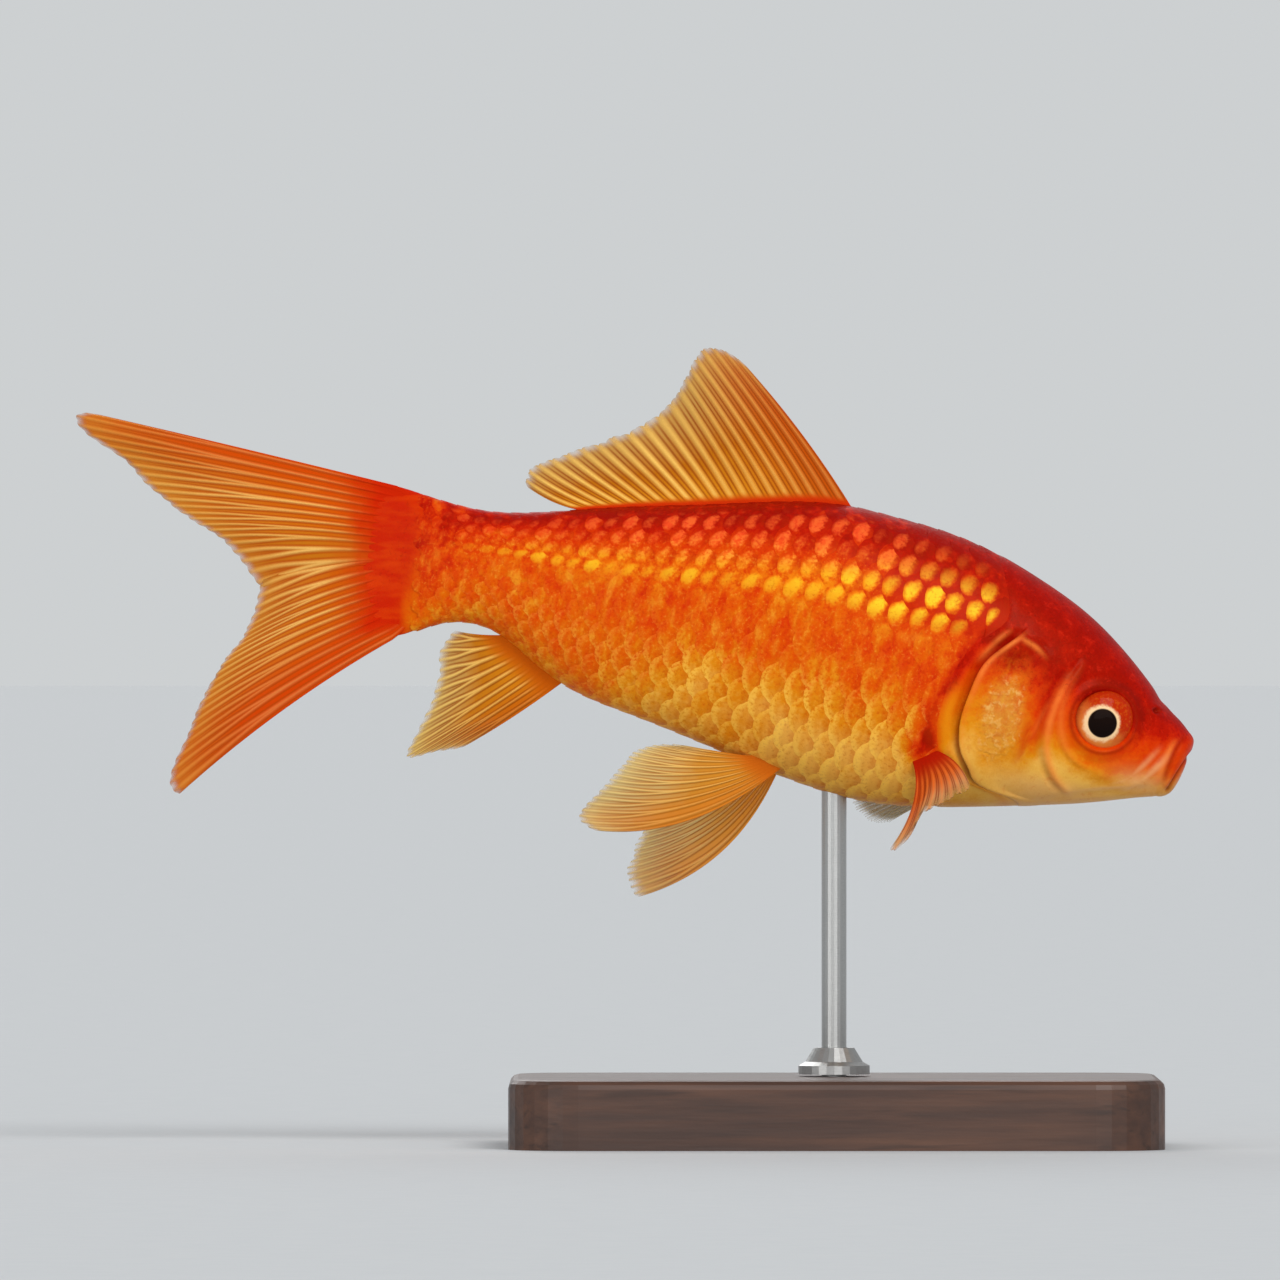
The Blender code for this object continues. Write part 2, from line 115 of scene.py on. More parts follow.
# %% Values that can be reckoned with
class Value:
    """One output socket of a finish's tree."""

    def __init__(self, finish, socket):
        self.finish, self.socket = finish, socket

    def math(self, operation, *others, clamp=False):
        return self.finish.node("Math", {"operation": operation, "use_clamp": clamp}, (self, *others))

    def __add__(self, other):
        return self.math("ADD", other)

    def __sub__(self, other):
        return self.math("SUBTRACT", other)

    def __rsub__(self, other):
        return self.finish.node("Math", {"operation": "SUBTRACT"}, (other, self))

    def __mul__(self, other):
        return self.math("MULTIPLY", other)

    def __truediv__(self, other):
        return self.math("DIVIDE", other)

    __radd__, __rmul__ = __add__, __mul__

    def clamped(self):
        return self.math("ADD", 0.0, clamp=True)


# %% Finishes
def tint(red, green, blue):
    """A colour given as on a paint card, 0 to 255, as the light it reflects."""
    share = [c / 255 for c in (red, green, blue)]
    return (*(c / 12.92 if c <= 0.04045 else ((c + 0.055) / 1.055) ** 2.4 for c in share), 1.0)


class Finish:
    """A material under construction."""

    def __init__(self, name, **constants):
        self.material = bpy.data.materials.new(name)
        self.material.use_nodes = True
        self.tree = self.material.node_tree
        self.shader = self.tree.nodes["Principled BSDF"]
        for key, value in constants.items():
            self.shader.inputs[key.replace("_", " ")].default_value = value

    def node(self, kind, settings=None, values=(), out=0):
        made = self.tree.nodes.new("ShaderNode" + kind)
        for key, value in (settings or {}).items():
            if key == "stops":
                ramp = made.color_ramp.elements
                while len(ramp) < len(value):
                    ramp.new(0.5)
                for element, (place, colour) in zip(ramp, value):
                    element.position, element.color = place, colour
            else:
                setattr(made, key, value)
        for key, value in (values if isinstance(values, dict) else dict(enumerate(values))).items():
            if isinstance(value, Value):
                self.tree.links.new(value.socket, made.inputs[key])
            else:
                made.inputs[key].default_value = value
        return Value(self, made.outputs[out])

    def attribute(self, name):
        """A number painted on the mesh's points."""
        return self.node("Attribute", {"attribute_name": name}, out="Fac")

    def ramp(self, value, *stops):
        return self.node("ValToRGB", {"stops": stops}, (value,))

    def mix(self, share, first, second):
        """The second colour over the first, by a share."""
        return self.node("Mix", {"data_type": "RGBA"}, {0: share, 6: first, 7: second}, out=2)

    def coats(self, colour, *coats):
        """Thin coats over a first colour, in order. Each is a share and either a colour or the red, green
        and blue of a paint card."""
        for share, *card in coats:
            colour = self.mix(share, colour, tint(*card) if len(card) == 3 else card[0])
        return colour

    def band(self, value, low, high):
        """0 below low and 1 above high, smooth between them."""
        settings = {"interpolation_type": "SMOOTHSTEP"}
        return self.node("MapRange", settings, {0: value, 1: low, 2: high})

    def place(self):
        return self.node("TexCoord", out="Object")

    def noise(self, scale, detail=3.0, stretch=None, roughness=0.55, lean=0.0):
        """Cloudy noise, 0 to 1, of so many lumps to the metre. Stretch makes each lump longer along x, y
        and z, and lean tips the long way forward, in degrees."""
        where = self.place()
        if stretch:
            turned = (0.0, math.radians(lean), 0.0)
            where = self.node("Mapping", {"vector_type": "TEXTURE"}, {0: where, 2: turned, 3: stretch})
        values = {"Vector": where, "Scale": scale, "Detail": detail, "Roughness": roughness}
        return self.node("TexNoise", values=values)

    def set(self, **links):
        for key, value in links.items():
            self.tree.links.new(value.socket, self.shader.inputs[key.replace("_", " ")])

    def bump(self, height, depth, strength=1.0):
        """Fine relief: a height of 0 to 1 that stands for so many metres."""
        values = {"Height": height, "Distance": depth, "Strength": strength}
        self.set(Normal=self.node("Bump", values=values, out="Normal"))


print("deep red reflects", [round(c, 3) for c in tint(178, 18, 3)])

# %% Floor
bpy.ops.object.select_all(action="DESELECT")
bpy.ops.mesh.primitive_plane_add(size=60)
floor = bpy.context.object
floor.name = "floor"
floor_finish = Finish("floor", Roughness=0.9, Specular_IOR_Level=0.1)
grain = floor_finish.noise(180, 4)
floor_finish.set(Base_Color=floor_finish.mix(grain, tint(205, 208, 210), tint(212, 214, 215)))
floor.data.materials.append(floor_finish.material)

# %% [markdown]
# ## The body's form
# A fish's body is a row of rounded cross-sections. Four curves say it all: the line of the back, the line
# of the belly, the half width, and the level where it is widest. They are the frame's own sizes. The fish
# is laid out in millimetres in a frame of its own: s back from the snout, h up, y out to its left. One
# function then swings the tail, tips the nose down and lifts the fish over its stand.

# %% The pose
PITCH = math.radians(13)
SNOUT_X, SNOUT_Z = 72.0, 51.9
BEND_START, BEND_REACH, BEND = 40.0, 110.0, 9.0


def placed(s, y, h):
    """Places in metres, as an array with a last axis of three."""
    s, y, h = np.broadcast_arrays(s, y, h)
    sideways = y + BEND * (np.clip(s - BEND_START, 0, None) / BEND_REACH) ** 2
    forward = SNOUT_X - s * math.cos(PITCH) + h * math.sin(PITCH)
    up = SNOUT_Z + s * math.sin(PITCH) + h * math.cos(PITCH)
    return np.stack([forward, sideways, up], axis=-1) * MM


# %% Smooth curves through a few knots
def spline(knots, root=False):
    """A natural cubic through (x, value) knots. With root it runs in the square root of x, which rounds
    off the end where x is 0."""
    x, value = np.array(knots, float).T
    x = np.sqrt(x) if root else x
    step = np.diff(x)
    system, right = np.eye(len(x)), np.zeros(len(x))
    for i in range(1, len(x) - 1):
        system[i, i - 1 : i + 2] = step[i - 1], 2 * (step[i - 1] + step[i]), step[i]
        right[i] = 6 * (np.diff(value)[i] / step[i] - np.diff(value)[i - 1] / step[i - 1])
    curve = np.linalg.solve(system, right)

    def at(where):
        where = np.sqrt(np.clip(where, 0, None)) if root else np.asarray(where, float)
        i = np.clip(np.searchsorted(x, where) - 1, 0, len(x) - 2)
        past = np.clip(where, x[0], x[-1]) - x[i]
        slope = (value[i + 1] - value[i]) / step[i] - step[i] * (2 * curve[i] + curve[i + 1]) / 6
        bend, change = curve[i] / 2, (curve[i + 1] - curve[i]) / (6 * step[i])
        return value[i] + past * (slope + past * (bend + past * change))

    return at


def smooth(low, high, x):
    """0 below low and 1 above high, with no corners."""
    t = np.clip((np.asarray(x, float) - low) / (high - low), 0, 1)
    return t * t * (3 - 2 * t)


def bell(x, middle, width):
    """1 at the middle, and dying out to both sides over about a width and a half."""
    return np.exp(-(((x - middle) / width) ** 2))


# %% The four curves
TAIL_BASE = 104.0
BACK = (
    (0, -1.0), (0.4, 0.7), (1, 1.4), (2.2, 2.4), (4, 3.6), (6, 5.3), (12, 10.1), (17, 13.2), (23, 15.8),
    (30, 18.1), (37, 19.4), (44, 19.8), (51, 19.8), (58, 18.6), (68, 15.9), (84, 11.5), (95, 8.7), (104, 9.1),
    (111, 9.3),
)
BELLY = (
    (0, -1.0), (0.3, -3.1), (0.65, -4.7), (1.2, -6.4), (2.0, -7.4), (3.5, -7.9), (7, -9.0), (12, -10.7),
    (20, -12.9), (30, -15.4), (38, -16.8), (45, -16.8), (51, -16.1), (60, -14.6), (72, -12.7), (80, -11.2),
    (85, -9.1), (90, -6.7), (95, -6.0), (99, -7.0), (104, -9.4), (111, -10.6),
)
HALF_WIDTH = (
    (0, 0), (0.5, 2.3), (1.5, 3.3), (3, 4.1), (6, 5.3), (11, 6.7), (17, 8.1), (24, 9.3), (32, 10.0),
    (42, 10.2), (52, 9.6), (62, 8.4), (72, 6.9), (82, 5.2), (90, 4.1), (98, 3.0), (101.5, 2.2), (104, 1.2),
    (106, 0.66), (108, 0.28), (109.5, 0.03),
)
WIDEST_LEVEL = (
    (0, -1.0), (1, -2.5), (5, -2.0), (12, -1.6), (20, -1.0), (30, 0.0), (45, 1.0), (80, 1.0), (104, 0.0),
)
UPPER_FULLNESS, LOWER_FULLNESS = 2.15, 2.3
LEAN, LEAN_START = 0.2, 85.0

back, belly = spline(BACK, root=True), spline(BELLY, root=True)
half_width, widest_level = spline(HALF_WIDTH, root=True), spline(WIDEST_LEVEL, root=True)
deepest, widest = float(back(42) - belly(42)), 2 * float(half_width(42))
print("deepest", round(deepest, 1), "mm, widest", round(widest, 1), "mm")

# %% [markdown]
# The skin and the scales both ask for the surface at a station and a share of the way round, from 0 on the
# back to 1 on the belly. Steps of the same share should be steps of the same length, so each
# cross-section is walked once and the angles of even steps are kept in a table.

# %% Even steps round each cross-section
BODY_END = 111
TABLE_S, TABLE_F = np.linspace(0, math.sqrt(BODY_END), 221) ** 2, np.linspace(0, 1, 129)


def cross_section(s, angle):
    """The level h and the width y of the body's surface at a station and an angle from the top."""
    up, out = np.cos(angle), np.abs(np.sin(angle))
    fullness = np.where(up > 0, UPPER_FULLNESS, LOWER_FULLNESS)
    middle = widest_level(s)
    reach = np.where(up > 0, back(s) - middle, middle - belly(s))
    return middle + reach * np.sign(up) * np.abs(up) ** (2 / fullness), half_width(s) * out ** (2 / fullness)


def angle_table():
    """For each station of the table, the angles at which even steps round the body fall."""
    angle = np.linspace(0, math.pi, 721)
    table = []
    for s in TABLE_S:
        h, y = cross_section(s, angle)
        along = np.concatenate([[0], np.cumsum(np.hypot(np.diff(h), np.diff(y)))])
        table.append(np.interp(TABLE_F, along / max(along[-1], 1e-9), angle))
    table[0] = table[1]
    return np.array(table)


ANGLES = angle_table()


def surface(s, share):
    """The body's surface at a station and a share of the way round: the true station, which leans near
    the tail, and the width and level there."""
    s, share = np.broadcast_arrays(np.asarray(s, float), np.asarray(share, float))
    row = np.interp(np.sqrt(np.clip(s, 0, BODY_END)), np.sqrt(TABLE_S), np.arange(len(TABLE_S)))
    column = np.clip(share, 0, 1) * (len(TABLE_F) - 1)
    i, j = np.minimum(row.astype(int), len(TABLE_S) - 2), np.minimum(column.astype(int), len(TABLE_F) - 2)
    p, q = row - i, column - j
    near = ANGLES[i, j] * (1 - q) + ANGLES[i, j + 1] * q
    far = ANGLES[i + 1, j] * (1 - q) + ANGLES[i + 1, j + 1] * q
    h, y = cross_section(s, near * (1 - p) + far * p)
    lean = LEAN * np.clip((s - LEAN_START) / (TAIL_BASE - LEAN_START), 0, 1)
    return s + lean * (h - widest_level(s)), y, h


_, middle_y, middle_h = surface(42.0, np.linspace(0, 1, 65))
print("half way round:", round(float(np.sum(np.hypot(np.diff(middle_y), np.diff(middle_h)))), 1), "mm")

# %% [markdown]
# ## The head's relief
# The head carries no scales, and its folds are what makes it a goldfish's: the rim of the eye socket, the
# nostril, the thick lips round a short steep mouth, the bony ridges of the cheek, and the gill cover that
# ends in a free edge over the gill slit. Each is a short curve on the side of the head with a width and a
# height, and the skin is raised or sunk by its distance from that curve.

# %% Distance from a drawn curve
def drawn(*points, count=48):
    """A smooth curve through a few (s, h) points, as a dense chain."""
    index, at = np.arange(len(points)), np.linspace(0, len(points) - 1, count)
    return np.stack([spline(list(zip(index, values)))(at) for values in zip(*points)], axis=-1)


def fold(chain, s, h, width, height, fade=0.12):
    """A ridge, or with a negative height a groove, along a chain, that dies out at both ends."""
    nearest, along = np.full(np.shape(s), 1e9), np.zeros(np.shape(s))
    for k, (a, b) in enumerate(zip(chain[:-1], chain[1:])):
        step = b - a
        t = np.clip(((s - a[0]) * step[0] + (h - a[1]) * step[1]) / (step @ step), 0, 1)
        near = np.hypot(s - a[0] - t * step[0], h - a[1] - t * step[1])
        along = np.where(near < nearest, (k + t) / (len(chain) - 1), along)
        nearest = np.minimum(near, nearest)
    ends = smooth(0, fade, along) * smooth(1, 1 - fade, along) if fade else 1.0
    return height * bell(nearest, 0, width) * ends


# %% The curves of the head
EYE_AT, EYE_OUT = (12.0, 0.3), 5.0
EYE_RADIUS, EYE_DEPTH, EYE_TURN = 4.05, 2.55, math.radians(10)
MOUTH = drawn((-1.5, 1.2), (0.1, -1.8), (1.1, -4.3), (1.9, -6.7))
UPPER_LIP = drawn((-0.6, 1.8), (0.9, -0.9), (1.65, -3.5), (2.2, -6.0))
LIP_FOLD = drawn((0.6, 1.9), (1.7, -0.5), (2.35, -3.4), (2.7, -6.4))
LIP_SWELL = LIP_FOLD + (0.85, -0.1)
LACHRYMAL = drawn((2.3, -1.2), (3.8, -3.8), (5.4, -6.2), (7.0, -7.6), (9.5, -8.6))
LOWER_LIP = drawn((-0.7, -2.0), (0.6, -4.6), (1.4, -6.9))
CHIN_FOLD = drawn((2.6, -5.9), (3.3, -7.0), (2.6, -9.0))
JAW_LINE = drawn((3.4, -6.6), (7.0, -7.9), (11.0, -9.2), (15.0, -10.6), (19.0, -12.2))
SOCKET_RIDGE = drawn((15.6, 7.9), (16.8, 4.8), (17.6, 1.4), (17.3, -1.6), (15.7, -4.7), (12.6, -6.5),
                     (8.8, -6.6))
CHEEK_EDGE = drawn((17.0, 6.4), (18.2, 2.3), (18.7, -1.2), (18.5, -4.3), (17.5, -6.9), (15.7, -9.0),
                   (13.2, -10.3))
CHEEK_GROOVE = CHEEK_EDGE + (0.9, -0.1)
COVER_TOP = drawn((25.8, 8.7), (24.0, 7.8), (22.3, 7.2), (20.3, 5.8))
COVER_GROOVE = COVER_TOP + (-0.2, 0.8)
COVER_FRONT = drawn((20.6, 6.2), (20.7, 1.6), (20.9, -3.4), (21.6, -9.4))
COVER_STREAK = drawn((18.8, 2.6), (19.7, -0.4), (20.4, -2.8), (20.9, -5.0))
SHOULDER_RIDGE = drawn((25.6, 9.2), (27.2, 7.7), (28.7, 5.2), (29.9, 3.4))
NOSTRIL = (5.6, 3.0)
COVER_MIDDLE, COVER_REACH = (24.3, -1.5), (5.2, 10.0)

FOLDS = (  # a curve, its width, how far it stands out, and the share of its length over which it fades
    (SOCKET_RIDGE, 0.55, 0.20, 0.12), (SOCKET_RIDGE + (0.8, 0.0), 0.4, -0.12, 0.12),
    (CHEEK_EDGE, 0.60, 0.20, 0.12), (CHEEK_GROOVE, 0.45, -0.24, 0.12),
    (COVER_TOP, 0.45, 0.14, 0.3), (COVER_GROOVE, 0.45, -0.16, 0.3),
    (LACHRYMAL, 0.7, 0.08, 0.3), (CHIN_FOLD, 0.3, -0.08, 0.12), (JAW_LINE, 0.45, -0.10, 0.12),
    (MOUTH, 0.16, -0.34, 0), (MOUTH, 0.4, -0.06, 0), (UPPER_LIP, 0.5, 0.07, 0), (LOWER_LIP, 0.4, 0.06, 0),
)
LOW_FOLDS = (  # the same, of those that show only beside the mouth and below
    (UPPER_LIP, 0.5, 0.07, 0), (LIP_FOLD, 0.28, -0.16, 0.2), (LIP_SWELL, 0.4, 0.07, 0.2),
)


# %% Relief of the head
def eye_distance(s, h):
    return np.hypot(s - EYE_AT[0], h - EYE_AT[1])


def nostril_distance(s, h):
    return np.hypot(s - NOSTRIL[0], (h - NOSTRIL[1]) * 1.2)


def oval(s, h, middle, reach):
    """0 in the middle of an oval, 1 on its edge."""
    return ((s - middle[0]) / reach[0]) ** 2 + ((h - middle[1]) / reach[1]) ** 2


def head_relief(s, h):
    """How far the skin of the head stands out, in millimetres, at (s, h) as seen from the side."""
    eye, nostril = eye_distance(s, h), nostril_distance(s, h)
    out = 0.12 * bell(eye, 4.4, 0.5) - 0.07 * bell(eye, 5.6, 0.45)  # the rim of the socket
    out -= 2.6 * smooth(4.08, 2.5, eye)  # and its floor, behind the eye
    out += 0.36 * np.exp(-1.1 * oval(s, h, COVER_MIDDLE, COVER_REACH))  # the swell of the gill cover
    out += 0.07 * bell(nostril, 0.75, 0.3) - 0.45 * smooth(0.55, 0.2, nostril)
    out -= 0.18 * bell(s, 5.2, 0.9) * smooth(3.2, 4.6, h)  # the dip of the forehead
    out += 0.14 * bell(h, 0.2, 1.3) * smooth(1.6, 0.2, s)  # the tip of the snout
    out += sum(fold(chain, s, h, *size) for chain, *size in FOLDS)
    return out + smooth(1.6, -1.2, h) * sum(fold(chain, s, h, *size) for chain, *size in LOW_FOLDS)


# %% [markdown]
# The gill slit needs a sharp free edge with room under it, which no gentle rise gives. So the rings of the
# skin are bowed until one of them lies along the slit. That ring is the edge of the gill cover: the next
# ones dive under it and climb out again on the shoulder.

# %% Rings that follow the gill slit
SLIT = 30.0  # the ring that lies along it
slit_offset = spline(((-17, -9.5), (-13.5, -8.0), (-12.1, -4.6), (-9.7, -2.3), (-8.2, -1.2), (-6.2, -0.35),
                      (-3.5, 0.0), (0.2, -0.4), (4.3, -1.5), (8.4, -4.4), (12, -6.2), (20, -7.0)))


def bowed(ring, share):
    """The station of a ring, which leans forward above and below as the gill slit does."""
    _, _, h = surface(ring, share)
    weight = smooth(7, SLIT, ring) * (1 - smooth(SLIT, 60, ring))
    return ring + weight * slit_offset(h)


def slit_strength(h):
    """The slit is open from the top of the gill cover down to the throat."""
    return smooth(9.6, 7.2, h) * smooth(-13.3, -10.4, h)


def slit_relief(ring, h):
    """How far the skin stands out and how far it is drawn forward, by its ring."""
    cover = 0.40 * smooth(SLIT - 4.5, SLIT - 0.3, ring)
    beyond = 0.14 * bell(ring, SLIT + 1.7, 0.6) - 0.60 * smooth(SLIT + 1.3, SLIT + 0.2, ring)
    tuck = -0.55 * smooth(SLIT + 0.8, SLIT + 0.02, ring) * (ring > SLIT)
    return np.where(ring > SLIT, beyond, cover) * slit_strength(h), tuck * slit_strength(h)


# %% [markdown]
# ## The markings
# Skin and scales share one paint plan, so that no edge shows where the one gives way to the other. Two
# numbers say how the colour lies: "fall" runs from the deep red of the back to the pale gold of the
# belly, and "gold" marks the bright band along the upper flank.

# %% Where the colours lie
def height_share(s, h):
    """0 on the back's line and 1 on the belly's, by level."""
    return np.clip((back(s) - h) / np.maximum(back(s) - belly(s), 0.5), 0, 1)


fall_by_height = spline(((0, 0.0), (0.1, 0.14), (0.2, 0.34), (0.32, 0.46), (0.5, 0.48), (0.62, 0.60),
                         (0.74, 0.82), (0.86, 1.0), (1, 0.98)))
head_end = spline(((-17, 20.0), (-12, 26.5), (-8, 29.6), (-3, 30.6), (1, 30.4), (5, 28.8), (8, 27.4),
                   (10, 28.0), (13, 31.5), (20, 35.5)))
cheek_level = spline(((0, -3.4), (4, -3.8), (9, -4.2), (14, -3.2), (18, -1.6), (22, -0.2), (30, -0.6)))


def head_fall(s, h):
    """Red over the crown and snout, orange on the cheek, pale gold under the throat."""
    below, above = np.clip(cheek_level(s) - h, 0, None), np.clip(h - cheek_level(s), 0, None)
    fall = 0.44 + (0.118 - 0.063 * smooth(18, 22, s)) * below - 0.066 * above
    fall += 0.13 * bell(s, 17.2, 1.7) * bell(h, 2.6, 3.0)  # brighter behind the eye
    fall += 0.16 * smooth(25.5, 28.5, s) * smooth(5, 1, h)  # and before the gill slit
    fall -= 0.14 * smooth(21.6, 20.4, s) * smooth(18.8, 19.6, s)  # redder at the gill cover's front
    return np.clip(fall, 0.05, 1.0)


def breast(s, h):
    """The red patch round the roots of the breast fins."""
    return bell(s, 34.0, 2.0) * bell(h, -8.6, 3.0)


def fall_at(s, h):
    """How pale the colour is at (s, h), anywhere on the body."""
    share = height_share(s, h)
    fall = fall_by_height(share)
    fall = fall * (1 - 0.55 * smooth(48, 38, s) * smooth(0.36, 0.31, share))  # deep red round the gold scales
    toward_tail = smooth(60, 80, s)
    fall = fall * (1 - toward_tail) + np.minimum(fall, 0.52 + 0.14 * smooth(0.7, 1, share)) * toward_tail
    fall = np.minimum(fall, 0.84 + 0.16 * smooth(58, 50, s) * smooth(1.02, 0.94, share))
    fall = np.maximum(fall, 0.24 * smooth(92, 99, s))
    redder = (0.3 - 0.2 * smooth(0.5, 0.7, share)) * smooth(92, 100, s)  # before the tail
    fall = fall * (1 - redder) * (1 - 0.35 * smooth(102.5, 105, s) * smooth(1.1, 0.75, share))
    fall = np.maximum(fall, 0.26 * smooth(98, 102, s))
    behind = s - SLIT - slit_offset(h)
    shoulder = bell(behind, 2.4 + 1.5 * smooth(1, -3, h), 1.2) * smooth(10, 7, h) * smooth(-14, -9, h)
    fall = fall - 0.38 * shoulder - 0.6 * breast(s, h)
    on_head = smooth(1.5, -1.5, s - head_end(h))
    return np.clip(fall * (1 - on_head) + head_fall(s, h) * on_head, 0, 1)


# %% Gold, spots and pale rims
band_level = spline(((24, 0.24), (34, 0.25), (45, 0.28), (54, 0.30), (75, 0.31), (90, 0.31), (104, 0.36)))
band_weight = spline(((24, 1.0), (33, 1.0), (45, 0.95), (55, 0.68), (70, 0.54), (88, 0.42), (97, 0.10),
                      (104, 0)))


def coat_marks(s, h):
    """Fall, gold, spot, rim and apart, for the scales. Spot is how strong the painted highlight in the middle
    of a scale is, on the back, rim how pale its free edge is, low on the flank, and apart how much red parts
    the gold scales."""
    share = height_share(s, h)
    gold = bell(share, band_level(s), 0.056 + 0.030 * smooth(52, 40, s)) * band_weight(s)
    # spot: a painted highlight in the middle of each scale on the back
    spot = smooth(0.03, 0.07, share) * smooth(0.32, 0.22, share)
    spot = spot * (0.25 + 0.75 * smooth(34, 43, s)) * (1 - 0.55 * smooth(68, 88, s)) * smooth(103, 98, s)
    rim = smooth(0.58, 0.74, share) * (1 - 0.75 * smooth(58, 80, s)) + 0.08 * smooth(0.4, 0.55, share)
    rim = np.clip(rim, 0, 1) * smooth(103, 90, s) * (1 - np.sqrt(breast(s, h)))
    return fall_at(s, h), np.clip(gold, 0, 1), spot, rim, smooth(52, 42, s)


print("band at s=45 lies", round(float(band_level(45.0)), 2), "of the way down")

# %% [markdown]
# ## The skin
# A grid wraps the body, seam along the belly, and is merged into one closed shell. Its rings are close
# together on the head, where the folds are, and wider on the trunk, where scales cover it. It lies a
# little inside the body's form there, by the depth of the coat of scales.

# %% Where scales begin
COAT_DEPTH = 0.34
scales_from = spline(((0, 29.5), (0.1, 28.3), (0.2, 26.8), (0.29, 26.8), (0.36, 29.2), (0.43, 30.8),
                      (0.5, 31.8), (0.6, 32.3), (0.72, 31.2), (0.79, 29.6), (0.88, 29.0), (1, 30.0)))


def ring_stations():
    """Where the rings are: dense at the snout, close on the head, wider on the trunk."""
    head = np.concatenate([np.linspace(0, 1, 20) ** 2 * 1.5, np.linspace(1.5, SLIT, 138)[1:]])
    slit = SLIT + np.array((0.03, 0.25, 0.5, 0.75, 1.0, 1.25, 1.5, 1.8, 2.1, 2.5, 3.0, 3.5, 4.0, 4.6, 5.3))
    return np.concatenate([head, slit, np.linspace(36, 109.5, 78)])


# %% Tools for grids of points
def normals_of(points):
    """Unit normals of a grid of points, by its neighbours."""
    normal = np.cross(np.gradient(points, axis=0), np.gradient(points, axis=1))
    return normal / np.maximum(np.linalg.norm(normal, axis=-1, keepdims=True), 1e-12)


def grid_piece(name, columns, rows):
    """A flat grid made at the origin, to be given its shape, and the column and row of each of its
    points. Its map keeps the grid's own layout."""
    bpy.ops.object.select_all(action="DESELECT")
    bpy.ops.mesh.primitive_grid_add(x_subdivisions=columns - 1, y_subdivisions=rows - 1, size=1)
    made = bpy.context.object
    made.name = made.data.name = name
    made.data.uv_layers[0].name = "OFBake"
    places = np.empty(len(made.data.vertices) * 3)
    made.data.vertices.foreach_get("co", places)
    places = (places.reshape(-1, 3)[:, :2] + 0.5) * (columns - 1, rows - 1)
    return made, *np.rint(places).astype(int).T


def paint(piece, name, values):
    """Keeps a number for each point of a mesh, for its finish to read."""
    kept = piece.data.attributes.new(name, "FLOAT", "POINT")
    kept.data.foreach_set("value", np.ascontiguousarray(values, dtype=np.float32).ravel())


def merged(piece, near):
    """Joins the points that meet, and turns every face outwards."""
    shape = bmesh.new()
    shape.from_mesh(piece.data)
    bmesh.ops.remove_doubles(shape, verts=shape.verts, dist=near)
    bmesh.ops.recalc_face_normals(shape, faces=shape.faces)
    shape.to_mesh(piece.data)
    shape.free()
    piece.data.shade_smooth()


# %% Wrap the skin
AROUND = 360  # steps round the body

rings = ring_stations()
way_round = np.linspace(0, 2, AROUND + 1)  # from the belly up the left side, over the back and down
ring, turn = np.meshgrid(rings, way_round, indexing="ij")
share = np.abs(turn - 1)
true_s, y, h = surface(bowed(ring, share), share)
y = y * np.where(turn <= 1, 1.0, -1.0)
skin_points = np.stack([true_s, y, h], axis=-1)
normal = normals_of(skin_points)
outward = np.sign(np.sum(normal * np.stack([0 * y, y, h - widest_level(true_s)], axis=-1), axis=-1))
normal *= np.median(outward[5:-5])
lift, tuck = slit_relief(ring, h)
lift = lift + head_relief(true_s, h) * smooth(SLIT + 0.5, SLIT - 0.5, ring)
lift = lift + fold(SHOULDER_RIDGE, true_s, h, 0.45, 0.16, 0.2) * (ring > SLIT)
lift -= COAT_DEPTH * smooth(-0.3, 1.5, true_s - scales_from(share)) * smooth(106, 98, true_s)
skin_points += normal * lift[..., None]
skin_points[..., 0] += tuck
skin_points[0] = skin_points[0].mean(axis=0)  # the tip of the snout is one point
skin_points[:, -1] = skin_points[:, 0]  # and the seam is shut
print("skin grid", skin_points.shape[:2])

# %% Build the skin
skin, i, j = grid_piece("skin", len(rings), AROUND + 1)
skin.data.vertices.foreach_set("co", placed(*np.moveaxis(skin_points, -1, 0))[i, j].ravel())
print("skin points:", len(skin.data.vertices))


# %% Painted shade in the folds and painted highlights on the ridges of the head
def stroke(strength, chain, width, fade=0.15):
    """A painted line along a curve of the head."""
    return fold(chain, true_s, h, width, strength, fade)


# the strongest line holds: painted shade (dark) in the grooves, the slit, the mouth and the nostril, round
# the eye and in the hollow above and before it; painted highlights (light) on the ridges and the gill
# cover's free edge, and a lighter streak before the cover; and pale low on the cheek and under the throat,
# with painted highlights along the bone below the eye, the jaw and the lower lip
eye, on_cover, slit_open = eye_distance(true_s, h), ring <= SLIT, slit_strength(h)
above_eye = ((EYE_AT[0] - true_s) * 0.6 + (h - EYE_AT[1]) * 0.8) / np.maximum(eye, 1)  # and before it
# dark: painted shade where shade falls, in the grooves, the slit, the mouth, the nostril and round the eye
dark = np.maximum.reduce([
    0.65 * smooth(SLIT + 1.0, SLIT + 0.2, ring) * ~on_cover * slit_open,
    stroke(0.80, MOUTH, 0.24, 0),
    stroke(0.50, LIP_FOLD, 0.32) * smooth(1.5, -0.5, h),
    0.70 * smooth(0.7, 0.35, nostril_distance(true_s, h)),
    0.60 * bell(eye, 4.3, 0.28),
    0.60 * bell(eye, 4.9, 0.5) * smooth(0.1, 0.8, above_eye),
    stroke(0.25, CHEEK_GROOVE, 0.5),
    stroke(0.30, COVER_GROOVE, 0.6),
])
